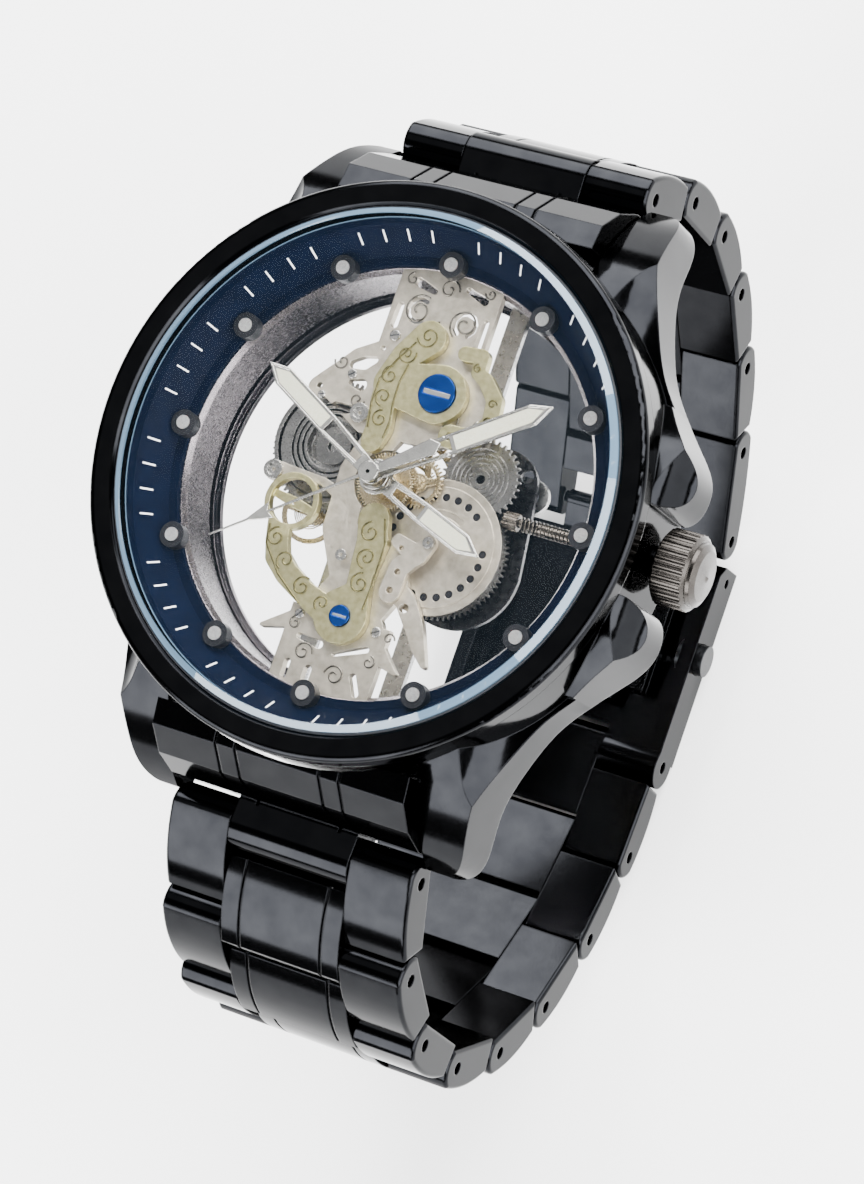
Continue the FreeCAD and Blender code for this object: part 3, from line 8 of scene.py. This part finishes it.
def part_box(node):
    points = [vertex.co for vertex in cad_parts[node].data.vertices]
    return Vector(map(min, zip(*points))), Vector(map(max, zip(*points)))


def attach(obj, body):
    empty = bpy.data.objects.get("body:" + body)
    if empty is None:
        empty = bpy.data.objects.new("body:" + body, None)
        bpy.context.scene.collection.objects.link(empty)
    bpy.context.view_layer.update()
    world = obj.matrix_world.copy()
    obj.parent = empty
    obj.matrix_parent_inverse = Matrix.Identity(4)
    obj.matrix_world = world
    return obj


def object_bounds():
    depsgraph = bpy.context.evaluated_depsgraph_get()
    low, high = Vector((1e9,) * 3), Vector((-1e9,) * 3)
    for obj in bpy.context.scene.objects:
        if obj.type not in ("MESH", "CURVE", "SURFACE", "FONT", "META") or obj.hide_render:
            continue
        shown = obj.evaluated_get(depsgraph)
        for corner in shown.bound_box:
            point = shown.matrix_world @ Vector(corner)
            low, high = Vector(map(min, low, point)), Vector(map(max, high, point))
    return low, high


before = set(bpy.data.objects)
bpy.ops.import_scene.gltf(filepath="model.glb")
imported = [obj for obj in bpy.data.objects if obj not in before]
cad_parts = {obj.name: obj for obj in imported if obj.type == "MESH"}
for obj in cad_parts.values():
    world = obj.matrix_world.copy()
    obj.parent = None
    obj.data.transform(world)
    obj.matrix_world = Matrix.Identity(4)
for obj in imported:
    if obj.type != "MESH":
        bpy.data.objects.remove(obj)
CAD_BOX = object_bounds()

MM = 0.001

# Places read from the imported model. The dial's axis is the frame's Z axis.
DIAL_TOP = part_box("hour_marker_pips")[1][2]
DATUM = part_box("hour_marker_cups")[1][2] + 0.12 * MM
LOW, HIGH = (Vector(corner) for corner in CAD_BOX)
MIDDLE = (LOW + HIGH) / 2

# Depths of the fine and coarse grain, and the two softened edges, in metres.
FINE_GRAIN = 0.00001
COARSE_GRAIN = 0.00002
SOFT_EDGE = 0.00008
BROAD_EDGE = 0.00015

# The chapter ring's slope, in millimetres: where it starts, its rise and its run.
SLOPE_RADIUS, SLOPE_HEIGHT = 16.6, -1.1
SLOPE_RISE, SLOPE_RUN = 2.3, 1.78
TRACK_RADIUS = 17.72

# The three broad hands: node, body, length in millimetres and angle clockwise from 12.
HANDS = (("minute_hand", "minute_work", 14.0, 55.4),
         ("hour_hand", "hour_work", 12.3, 298.6),
         ("dual_time_hand", "dual_time_work", 10.1, 110.2))
HAND_WIDTH = 1.55

# The ratchet disc, in millimetres: its thickness and its ring of holes, two places left plain.
RATCHET_THICK = 0.08
HOLE_RING, HOLE_RADIUS = 3.65, 0.29
HOLE_PLACES, HOLES = 24, 22

# The winding stem's thread, in millimetres.
THREAD_START, THREAD_PITCH, THREAD_RADIUS = 10.5, 0.3, 0.47
THREAD_TURNS, THREAD_STEPS = 16, 15


# ---------------------------------------------------------------- materials

class Recipe:
    """A Principled material with a few node helpers."""

    def __init__(self, name):
        self.material = bpy.data.materials.new(name)
        self.material.use_nodes = True
        self.tree = self.material.node_tree
        self.shader = self.tree.nodes["Principled BSDF"]
        self.place = self.node("ShaderNodeTexCoord").outputs["Object"]

    def node(self, kind, **values):
        made = self.tree.nodes.new(kind)
        for key, value in values.items():
            setattr(made, key, value)
        return made

    def link(self, source, target):
        self.tree.links.new(source, target)

    def set(self, **values):
        for key, value in values.items():
            self.shader.inputs[key.replace("_", " ")].default_value = value
        return self

    def noise(self, scale, detail=3.0):
        texture = self.node("ShaderNodeTexNoise")
        texture.inputs["Scale"].default_value = scale
        texture.inputs["Detail"].default_value = detail
        self.link(self.place, texture.inputs["Vector"])
        return texture.outputs["Fac"]

    def axis_distance(self):
        """Distance of the shaded point from the dial's axis."""
        flat = self.node("ShaderNodeVectorMath", operation="MULTIPLY")
        flat.inputs[1].default_value = (1, 1, 0)
        self.link(self.place, flat.inputs[0])
        reach = self.node("ShaderNodeVectorMath", operation="LENGTH")
        self.link(flat.outputs["Vector"], reach.inputs[0])
        return reach.outputs["Value"]

    def ramp(self, source, stops):
        made = self.node("ShaderNodeValToRGB")
        elements = made.color_ramp.elements
        while len(elements) < len(stops):
            elements.new(0.5)
        for element, (position, colour) in zip(elements, stops):
            element.position = position
            element.color = colour + (1,)
        self.link(source, made.inputs["Fac"])
        return made.outputs["Color"]

    def remap(self, source, start, end, low=0.0, high=1.0):
        """Map start..end to low..high."""
        made = self.node("ShaderNodeMapRange")
        made.inputs["From Min"].default_value = start
        made.inputs["From Max"].default_value = end
        made.inputs["To Min"].default_value = low
        made.inputs["To Max"].default_value = high
        self.link(source, made.inputs["Value"])
        return made.outputs["Result"]

    def cloud(self, source, dark, light):
        return self.ramp(source, [(0.3, dark), (0.7, light)])

    def colour(self, source):
        self.link(source, self.shader.inputs["Base Color"])
        return self

    def tint(self, source, dark, light):
        return self.colour(self.cloud(source, dark, light))

    def split(self, share, first, second):
        """The first colour where share is 0, the second where it is 1."""
        made = self.node("ShaderNodeMix", data_type="RGBA")
        self.link(share, made.inputs["Factor"])
        self.link(first, made.inputs[6])
        self.link(second, made.inputs[7])
        return self.colour(made.outputs[2])

    def roughness(self, source, low, high):
        self.link(self.remap(source, 0.3, 0.7, low, high), self.shader.inputs["Roughness"])
        return self

    def bump(self, source, strength, distance, edge=0.0):
        made = self.node("ShaderNodeBump")
        if edge:
            soft = self.node("ShaderNodeBevel", samples=4)
            soft.inputs["Radius"].default_value = edge
            self.link(soft.outputs["Normal"], made.inputs["Normal"])
        made.inputs["Strength"].default_value = strength
        made.inputs["Distance"].default_value = distance
        self.link(source, made.inputs["Height"])
        self.link(made.outputs["Normal"], self.shader.inputs["Normal"])
        return self


def metal(name, dark, light, rough, cloud=900.0, grain=6000.0, strength=0.08, edge=SOFT_EDGE, glance=1.0):
    """Bare or coated metal: a faint cloud in the colour, fine grain, and softly rounded edges.

    Glance is how bright the surface is where it is seen edge on.
    """
    recipe = Recipe(name).set(Metallic=1.0, Specular_Tint=(glance, glance, glance, 1))
    recipe.tint(recipe.noise(cloud, 4.0), dark, light)
    grit = recipe.noise(grain, 2.0)
    recipe.roughness(grit, *rough)
    recipe.bump(grit, strength, FINE_GRAIN, edge)
    return recipe.material


BLACK_STEEL = metal("black_steel", (0.0065, 0.0068, 0.0078), (0.0095, 0.0099, 0.011), (0.09, 0.14),
                    cloud=500.0, grain=7000.0, strength=0.02, edge=BROAD_EDGE, glance=0.7)
BLACK_SATIN = metal("black_satin", (0.016, 0.017, 0.019), (0.024, 0.025, 0.027), (0.26, 0.36),
                    cloud=700.0, grain=7000.0, strength=0.05, edge=BROAD_EDGE)
GUNMETAL = metal("gunmetal", (0.030, 0.027, 0.025), (0.050, 0.046, 0.042), (0.20, 0.30))
BRONZED = metal("bronzed_steel", (0.060, 0.052, 0.044), (0.10, 0.088, 0.074), (0.24, 0.36))
# Painted shade: a dark metal laid in the steel screws' slots.
SLOT_SHADE = metal("painted_slot_shade", (0.055, 0.055, 0.06), (0.09, 0.09, 0.095), (0.25, 0.4))
STEEL = metal("satin_steel", (0.34, 0.335, 0.32), (0.46, 0.45, 0.43), (0.2, 0.34))
NICKEL = metal("frosted_nickel_silver", (0.42, 0.38, 0.31), (0.60, 0.55, 0.46), (0.36, 0.5),
               cloud=1500.0, grain=9000.0, strength=0.25)
GILT = metal("pale_gilt", (0.38, 0.35, 0.17), (0.54, 0.50, 0.28), (0.30, 0.44),
             cloud=2500.0, grain=9000.0, strength=0.2)
BRASS = metal("train_brass", (0.42, 0.34, 0.20), (0.56, 0.47, 0.30), (0.22, 0.36))
BLUED = metal("blued_steel", (0.004, 0.041, 0.25), (0.010, 0.074, 0.36), (0.14, 0.22))
HAND_STEEL = metal("hand_steel", (0.55, 0.54, 0.51), (0.70, 0.69, 0.65), (0.14, 0.24))
RING_METAL = metal("inner_wall_metal", (0.15, 0.135, 0.145), (0.19, 0.172, 0.182), (0.22, 0.30),
                   cloud=400.0, strength=0.03)
GROOVED_STEEL = metal("grooved_steel", (0.20, 0.195, 0.19), (0.30, 0.295, 0.285), (0.24, 0.36))
GILT_LINE = metal("gilt_line", (0.075, 0.066, 0.026), (0.12, 0.108, 0.048), (0.3, 0.42), cloud=2500.0)
NICKEL_LINE = metal("nickel_line", (0.085, 0.078, 0.066), (0.15, 0.14, 0.12), (0.3, 0.42), cloud=2500.0)


def make_blue_lacquer():
    recipe = Recipe("blue_lacquer").set(Specular_IOR_Level=0.02)
    cloud = recipe.noise(900.0, 5.0)
    recipe.tint(cloud, (0.0005, 0.0018, 0.0072), (0.0008, 0.0028, 0.0105))
    recipe.roughness(cloud, 0.42, 0.52)
    return recipe.bump(recipe.noise(9000.0), 0.2, FINE_GRAIN).material


def make_white_print():
    recipe = Recipe("white_print").set(Roughness=0.5)
    return recipe.tint(recipe.noise(3000.0), (0.74, 0.75, 0.76), (0.90, 0.90, 0.90)).material


def make_lume(name, dark, light):
    recipe = Recipe(name).set(Subsurface_Weight=0.1, Subsurface_Scale=0.0005)
    grain = recipe.noise(9000.0, 4.0)
    recipe.tint(grain, dark, light)
    recipe.roughness(grain, 0.6, 0.75)
    return recipe.bump(grain, 0.35, COARSE_GRAIN).material


def make_cup_black():
    recipe = Recipe("cup_black").set(Metallic=0.8)
    grain = recipe.noise(4000.0)
    recipe.tint(grain, (0.020, 0.020, 0.023), (0.028, 0.028, 0.032))
    return recipe.roughness(grain, 0.34, 0.42).material


def make_gasket():
    recipe = Recipe("gasket_rubber")
    grain = recipe.noise(6000.0)
    recipe.tint(grain, (0.010, 0.012, 0.016), (0.022, 0.024, 0.030))
    recipe.roughness(grain, 0.5, 0.65)
    return recipe.bump(grain, 0.3, COARSE_GRAIN).material


def make_crystal():
    """Clear in the middle; a pale blue reflection is painted on the polished bevel at the rim."""
    recipe = Recipe("crystal_glass").set(Roughness=0.02, IOR=1.5, Specular_IOR_Level=0.6)
    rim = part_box("crystal")[1][0]
    # Painted reflection: the bevel's pale blue light is laid into the colour and the opacity.
    rim_reflection = recipe.remap(recipe.axis_distance(), rim - 0.54 * MM, rim - 0.46 * MM)
    recipe.colour(recipe.ramp(rim_reflection, [(0.0, (0.02, 0.03, 0.04)), (1.0, (0.085, 0.14, 0.20))]))
    recipe.link(recipe.remap(rim_reflection, 0.0, 1.0, 0.035, 0.80), recipe.shader.inputs["Alpha"])
    return recipe.material


def make_rear_steel():
    """Steel bars with the blackened keyless plate above them."""
    recipe = Recipe("rear_steel").set(Metallic=1.0)
    parts = recipe.node("ShaderNodeSeparateXYZ")
    recipe.link(recipe.place, parts.inputs["Vector"])
    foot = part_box("rear_bridges")[0][2]
    level = recipe.remap(parts.outputs["Z"], foot + 0.52 * MM, foot + 0.54 * MM)
    grain = recipe.noise(2500.0, 4.0)
    pale = recipe.cloud(grain, (0.30, 0.30, 0.30), (0.42, 0.42, 0.41))
    black = recipe.cloud(grain, (0.045, 0.045, 0.05), (0.08, 0.08, 0.085))
    recipe.split(level, pale, black)
    recipe.roughness(grain, 0.24, 0.36)
    return recipe.bump(grain, 0.1, FINE_GRAIN, SOFT_EDGE).material


def make_case_back_metal():
    """Black coating, left bare on the bore that shows through the window."""
    recipe = Recipe("case_back_metal").set(Metallic=1.0)
    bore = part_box("case_back_crystal")[1][0] + 0.25 * MM
    outside = recipe.remap(recipe.axis_distance(), bore, bore + 0.1 * MM)
    grain = recipe.noise(1200.0, 4.0)
    bare = recipe.cloud(grain, (0.15, 0.135, 0.145), (0.19, 0.172, 0.182))
    black = recipe.cloud(grain, (0.011, 0.0115, 0.013), (0.016, 0.0165, 0.018))
    recipe.split(outside, bare, black)
    recipe.roughness(grain, 0.16, 0.24)
    return recipe.bump(grain, 0.03, FINE_GRAIN, SOFT_EDGE).material


REAR_STEEL = make_rear_steel()
CASE_BACK_METAL = make_case_back_metal()
BLUE_LACQUER = make_blue_lacquer()
WHITE_PRINT = make_white_print()
PIP_LUME = make_lume("pip_lume", (0.13, 0.13, 0.13), (0.23, 0.23, 0.225))
HAND_LUME = make_lume("hand_lume", (0.34, 0.335, 0.25), (0.43, 0.425, 0.335))
CUP_BLACK = make_cup_black()
GASKET = make_gasket()
CRYSTAL = make_crystal()

NODE_MATERIALS = {
    "mid_case": BLACK_STEEL, "bezel": BLACK_STEEL, "case_back": CASE_BACK_METAL,
    "end_link_12": BLACK_STEEL, "end_link_6": BLACK_STEEL, "clasp_cover": BLACK_STEEL,
    "crown": GUNMETAL, "clasp_button_right": BLACK_SATIN, "clasp_button_left": BLACK_SATIN,
    "spring_bars": STEEL, "winding_stem": BRONZED, "winding_pinion": BRONZED, "crown_wheel": GROOVED_STEEL,
    "barrel_left": GROOVED_STEEL, "barrel_right": GROOVED_STEEL, "clasp_inner_blade": BLACK_STEEL,
    "clasp_outer_blade": BLACK_STEEL, "pallet_fork": STEEL, "jewels": STEEL,
    "crystal": CRYSTAL, "case_back_crystal": CRYSTAL, "crystal_gasket": GASKET,
    "dial_ring": BLUE_LACQUER, "movement_ring": RING_METAL,
    "hour_marker_cups": CUP_BLACK, "hour_marker_pips": PIP_LUME,
    "main_plate": NICKEL, "scroll_bridge": NICKEL, "rear_bridges": REAR_STEEL, "ratchet_wheel": NICKEL,
    "upper_bridge": GILT, "hook_bridge": GILT, "balance_cock": GILT, "blued_screws": BLUED,
    "center_wheel": BRASS, "third_wheel": BRASS, "fourth_wheel": BRASS, "minute_wheel": BRASS,
    "hour_wheel": BRASS, "dual_time_wheel": BRASS, "escape_wheel": BRASS, "balance_wheel": BRASS,
    "hour_hand": HAND_STEEL, "minute_hand": HAND_STEEL, "dual_time_hand": HAND_STEEL,
    "seconds_hand": HAND_STEEL,
}


def material_of(node):
    return NODE_MATERIALS.get(node, BLACK_STEEL)


def dress_nodes():
    for node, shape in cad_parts.items():
        shape.data.materials.clear()
        shape.data.materials.append(material_of(node))


dress_nodes()


# ---------------------------------------------------------------- small pieces

def up(level):
    """Height in the frame of a level drawn from the hour markers' datum."""
    return DATUM + level * MM


def top_of(node):
    """Top of a CAD node, in millimetres from the datum."""
    return (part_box(node)[1][2] - DATUM) / MM


def finish_piece(shape, name, material, body):
    mesh = bpy.data.meshes.new(name)
    shape.to_mesh(mesh)
    shape.free()
    piece = bpy.data.objects.new(name, mesh)
    mesh.materials.append(material)
    bpy.context.collection.objects.link(piece)
    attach(piece, body)
    return piece


def add_prism(shape, outline, low, high, bevel=0.0):
    """A straight-sided solid in millimetres, its top edges chamfered."""
    rings = [(low, 0.0), (high - bevel, 0.0), (high, bevel)] if bevel else [(low, 0.0), (high, 0.0)]
    centre = Vector((sum(x for x, y in outline), sum(y for x, y in outline))) / len(outline)
    rows = []
    for level, inset in rings:
        row = []
        for x, y in outline:
            point = Vector((x, y))
            reach = (point - centre).length or 1.0
            point = centre + (point - centre) * max(0.05, 1 - inset / reach)
            row.append(shape.verts.new((point.x * MM, point.y * MM, up(level))))
        rows.append(row)
    count = len(outline)
    shape.faces.new(rows[0][::-1])
    shape.faces.new(rows[-1])
    for lower, upper in zip(rows, rows[1:]):
        for i in range(count):
            j = (i + 1) % count
            shape.faces.new((lower[i], lower[j], upper[j], upper[i]))


def circle(x, y, radius, count=28):
    return [(x + radius * math.cos(2 * math.pi * i / count), y + radius * math.sin(2 * math.pi * i / count))
            for i in range(count)]


def make_minute_track():
    """White minute strokes on the slope of the chapter ring, four between two hours."""
    shape = bmesh.new()
    slope = math.atan2(SLOPE_RISE, SLOPE_RUN)
    height = SLOPE_HEIGHT + (TRACK_RADIUS - SLOPE_RADIUS) * math.tan(slope)
    for minute in range(60):
        if minute % 5 == 0:
            continue
        turn = Matrix.Rotation(-2 * math.pi * minute / 60, 4, "Z")
        tilt = Matrix.Rotation(slope, 4, "X")
        where = turn @ Matrix.Translation((0, TRACK_RADIUS * MM, up(height + 0.01))) @ tilt
        corners = []
        for z in (-0.03, 0.02):
            for x, y in ((-0.06, -0.52), (0.06, -0.52), (0.06, 0.52), (-0.06, 0.52)):
                corners.append(shape.verts.new(where @ Vector((x * MM, y * MM, z * MM))))
        for face in ((3, 2, 1, 0), (4, 5, 6, 7), (0, 1, 5, 4), (1, 2, 6, 5), (2, 3, 7, 6), (3, 0, 4, 7)):
            shape.faces.new([corners[i] for i in face])
    finish_piece(shape, "minute_track", WHITE_PRINT, "case")


def turned_outline(outline, clock_angle):
    """The outline turned clockwise by an angle in degrees."""
    angle = math.radians(-clock_angle)
    return [(x * math.cos(angle) - y * math.sin(angle), x * math.sin(angle) + y * math.cos(angle))
            for x, y in outline]


def make_hand_trim(name, body, length, clock_angle):
    """Cream luminous fill in the outer part of a broad hand, and a polished ridge along its open rails."""
    top = top_of(name)
    half = HAND_WIDTH / 2 - 0.25
    start = length * 0.44 + 0.3
    fill = bmesh.new()
    shoulder = length - 1.75
    outline = [(-half, start), (half, start), (half, shoulder), (0, length - 0.75), (-half, shoulder)]
    add_prism(fill, turned_outline(outline, clock_angle), top - 0.02, top + 0.045, 0.03)
    finish_piece(fill, name + "_lume", HAND_LUME, body)
    rails = bmesh.new()
    outer = HAND_WIDTH / 2
    bend = length * 0.42
    for side in (1, -1):
        run = [(side * 0.40, 1.7), (side * 0.56, 1.7), (side * outer * 0.98, bend),
               (side * (outer - 0.18), bend)]
        outline = run if side > 0 else run[::-1]
        add_prism(rails, turned_outline(outline, clock_angle), top - 0.02, top + 0.05, 0.05)
        run = [(side * (outer - 0.17), bend), (side * (outer - 0.02), bend),
               (side * (outer - 0.02), length - 1.62), (side * 0.02, length - 0.12),
               (side * 0.02, length - 0.42),
               (side * (outer - 0.17), length - 1.7)]
        outline = run if side > 0 else run[::-1]
        add_prism(rails, turned_outline(outline, clock_angle), top - 0.02, top + 0.05, 0.03)
    finish_piece(rails, name + "_bevel", HAND_STEEL, body)


def make_wire(name, runs, radius, material, body, level=None):
    """Fine raised lines: each run is a list of (x, y) or (x, y, z) in millimetres."""
    curve = bpy.data.curves.new(name, "CURVE")
    curve.dimensions = "3D"
    curve.bevel_depth = radius * MM
    curve.bevel_resolution = 2
    for run in runs:
        spline = curve.splines.new("POLY")
        spline.points.add(len(run) - 1)
        for point, place in zip(spline.points, run):
            z = level if level is not None else place[2]
            point.co = (place[0] * MM, place[1] * MM, up(z), 1)
    curve.materials.append(material)
    piece = bpy.data.objects.new(name, curve)
    bpy.context.collection.objects.link(piece)
    bpy.context.view_layer.objects.active = piece
    piece.select_set(True)
    bpy.ops.object.convert(target="MESH")
    for face in piece.data.polygons:
        face.use_smooth = True
    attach(piece, body)


def scroll(x, y, reach, start, turns, count=30):
    """A curl that winds in towards its middle."""
    run = []
    for i in range(count + 1):
        share = i / count
        angle = math.radians(start) + 2 * math.pi * turns * share
        radius = reach * (1 - 0.82 * share)
        run.append((x + radius * math.cos(angle), y + radius * math.sin(angle)))
    return run


def make_bridge_scrolls():
    """Relief on the gilt bridges. Each curl is x, y, reach, starting angle and turns."""
    top = top_of("upper_bridge")
    curls = [
        (-0.1, 10.8, 0.85, 200, 1.4), (-1.3, 9.2, 0.75, 20, -1.4), (-2.0, 7.4, 0.7, 90, 1.3),
        (-1.95, 5.8, 0.68, 270, -1.3), (-1.65, 4.2, 0.66, 90, 1.3),
        (-6.3, -6.0, 0.75, 90, 1.4), (-5.0, -7.4, 0.75, 250, -1.3),
        (-3.1, -8.9, 0.78, 60, 1.3), (-1.2, -9.6, 0.62, 240, -1.2), (1.1, -7.5, 0.8, 90, 1.4),
        (0.95, -5.6, 0.8, 270, -1.4), (0.6, -3.8, 0.8, 100, 1.3),
        (6.25, 7.3, 0.36, 0, 1.2), (6.4, 6.0, 0.36, 180, -1.2), (4.3, 9.5, 0.34, 90, 1.2),
    ]
    runs = [scroll(x, y, reach, start, turns) for x, y, reach, start, turns in curls]
    runs.append([(-0.9, 10.2), (-1.9, 8.6), (-2.7, 7.0), (-2.7, 5.2), (-2.35, 3.4)])
    runs.append([(-0.9, 8.5), (-1.15, 7.0), (-1.1, 5.6), (-0.85, 4.2), (-0.95, 2.9)])
    runs.append([(-7.1, -5.2), (-6.9, -6.6), (-5.2, -8.5), (-2.9, -10.1)])
    runs.append([(1.95, -9.2), (2.05, -7.0), (1.95, -4.4), (1.3, -2.6)])
    make_wire("bridge_scrolls", runs, 0.07, GILT_LINE, "case", top + 0.02)


def make_plate_scrolls():
    """Relief on the nickel band at both ends."""
    top = top_of("main_plate")
    curls = [
        (-1.9, 12.6, 1.2, 60, 1.5), (1.9, 12.4, 1.2, 240, -1.5), (-0.1, 14.6, 0.8, 0, 1.3),
        (0.0, 11.6, 0.55, 90, 1.2), (-3.1, 14.7, 0.5, 90, 1.1), (3.1, 15.0, 0.45, 180, 1.1),
        (-1.7, -13.2, 0.75, 0, 1.4), (1.2, -14.2, 0.8, 180, -1.4), (-3.0, -11.4, 0.5, 90, 1.2),
        (3.4, -12.6, 0.5, 90, -1.2),
        (1.4, -11.4, 0.5, 0, 1.1), (3.3, 5.6, 1.0, 90, 1.3),
        (-6.3, 7.6, 0.6, 180, 1.2), (-4.2, 5.2, 0.6, 0, -1.2), (4.3, -10.6, 0.45, 0, 1.1),
    ]
    runs = [scroll(x, y, reach, start, turns) for x, y, reach, start, turns in curls]
    make_wire("plate_scrolls", runs, 0.075, NICKEL_LINE, "case", top + 0.01)


def make_stem_thread():
    """The screw thread on the winding stem, level with the crown's middle."""
    low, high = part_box("crown")
    level = ((low[2] + high[2]) / 2 - DATUM) / MM
    run = []
    for i in range(THREAD_TURNS * THREAD_STEPS + 1):
        turns = i / THREAD_STEPS
        angle = 2 * math.pi * turns
        run.append((THREAD_START + THREAD_PITCH * turns, THREAD_RADIUS * math.cos(angle),
                    level + THREAD_RADIUS * math.sin(angle)))
    make_wire("stem_thread", [run], 0.08, BRONZED, "crown")


def make_small_screws():
    """Slotted steel screws on the plates, their slots painted dark as shade, and bright slots in the blued
    ones.
    """
    heads = bmesh.new()
    slots = bmesh.new()
    nickel_top = top_of("main_plate")
    steel_screws = [(-3.0, 10.4, 0.42, 20), (3.0, 10.5, 0.42, 70), (-5.2, 6.9, 0.36, 40),
                    (5.4, 5.6, 0.36, 10), (-2.9, -10.7, 0.36, 55),
                    (3.2, -10.4, 0.4, 30), (-7.0, 4.9, 0.3, 15)]
    for x, y, radius, turn in steel_screws:
        add_prism(heads, circle(x, y, radius), nickel_top - 0.05, nickel_top + 0.16, 0.05)
        half = radius * 0.85
        bar = [(-half, -0.05), (half, -0.05), (half, 0.05), (-half, 0.05)]
        bar = [(x + a, y + b) for a, b in turned_outline(bar, -turn)]
        add_prism(slots, bar, nickel_top + 0.1, nickel_top + 0.165)
    finish_piece(heads, "plate_screws", STEEL, "case")
    finish_piece(slots, "plate_screw_slot_shade", SLOT_SHADE, "case")
    blued_top = top_of("blued_screws")
    fills = bmesh.new()
    for x, y, radius in ((1.95, 7.0, 1.4), (0.45, -10.1, 0.77)):
        half, deep = radius * 0.75, radius * 0.13
        bar = [(x - half, y - deep), (x + half, y - deep), (x + half, y + deep), (x - half, y + deep)]
        add_prism(fills, bar, blued_top - 0.17, blued_top - 0.06)
    finish_piece(fills, "blued_screw_slots", HAND_STEEL, "case")


def make_ratchet_holes():
    """Dark discs painted as shade on the floors of the ratchet disc's ring of holes."""
    low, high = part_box("ratchet_wheel")
    x, y = ((low[i] + high[i]) / 2 / MM for i in (0, 1))
    floor = top_of("ratchet_wheel") - RATCHET_THICK
    shape = bmesh.new()
    for index in range(HOLES):
        angle = 2 * math.pi * index / HOLE_PLACES + 0.9
        hole = circle(x + HOLE_RING * math.cos(angle), y + HOLE_RING * math.sin(angle), HOLE_RADIUS, 20)
        add_prism(shape, hole, floor - 0.02, floor + 0.02)
    # Painted shade: each black disc stands for the shadow at the bottom of a hole.
    finish_piece(shape, "ratchet_hole_painted_shade", CUP_BLACK, "ratchet_wheel")


make_minute_track()
for hand in HANDS:
    make_hand_trim(*hand)
make_bridge_scrolls()
make_plate_scrolls()
make_stem_thread()
make_small_screws()
make_ratchet_holes()


# ---------------------------------------------------------------- stage, light, camera

CAMERA_ANGLES = (-13.56, 65.57, -58.57)     # azimuth, elevation and roll in degrees
CAMERA_DISTANCE = 0.2741                    # metres from the point it looks at

def area_light(name, place, size, power):
    """A rectangular softbox aimed at the middle of the watch."""
    data = bpy.data.lights.new(name, "AREA")
    data.shape = "RECTANGLE"
    data.size = size[0]
    data.size_y = size[1]
    data.energy = power
    light = bpy.data.objects.new(name, data)
    light.location = place
    light.rotation_euler = (MIDDLE - Vector(place)).to_track_quat("-Z", "Y").to_euler()
    bpy.context.collection.objects.link(light)


def make_floor():
    mesh = bpy.data.meshes.new("floor")
    shape = bmesh.new()
    bmesh.ops.create_grid(shape, x_segments=1, y_segments=1, size=2.5)
    shape.to_mesh(mesh)
    shape.free()
    floor = bpy.data.objects.new("floor", mesh)
    floor.location.z = LOW.z - 0.0001
    bpy.context.collection.objects.link(floor)
    recipe = Recipe("floor_paper").set(Roughness=0.9)
    recipe.tint(recipe.noise(30.0), (0.93, 0.93, 0.93), (0.95, 0.95, 0.95))
    mesh.materials.append(recipe.material)


def make_world():
    world = bpy.data.worlds.new("studio")
    world.use_nodes = True
    background = world.node_tree.nodes["Background"]
    background.inputs["Color"].default_value = (0.95, 0.97, 1.0, 1)
    background.inputs["Strength"].default_value = 0.12
    bpy.context.scene.world = world


def make_camera():
    """A long lens above the 4 o'clock side, rolled so that 12 leans to the right."""
    data = bpy.data.cameras.new("camera")
    data.sensor_width = 36.0
    data.lens = 112.5
    camera = bpy.data.objects.new("camera", data)
    azimuth, elevation, roll = (math.radians(angle) for angle in CAMERA_ANGLES)
    outward = Vector((math.cos(azimuth) * math.cos(elevation), math.sin(azimuth) * math.cos(elevation),
                      math.sin(elevation)))
    target = Vector((0.3 * MM, -5.1 * MM, DIAL_TOP - 15 * MM))
    turn = (-outward).to_track_quat("-Z", "Y") @ Quaternion((0, 0, 1), roll)
    camera.matrix_world = Matrix.Translation(target + outward * CAMERA_DISTANCE) @ turn.to_matrix().to_4x4()
    bpy.context.collection.objects.link(camera)
    bpy.context.scene.camera = camera


make_floor()
make_world()
make_camera()
area_light("back_softbox", (-0.05, 0.95, 0.70), (1.5, 1.0), 92.0)
area_light("right_softbox", (0.95, -0.10, 0.62), (1.1, 1.0), 60.0)
area_light("front_softbox", (-0.35, -0.95, 0.60), (1.2, 0.8), 54.0)
area_light("overhead_panel", (-0.50, 0.12, 1.15), (0.5, 0.5), 0.7)
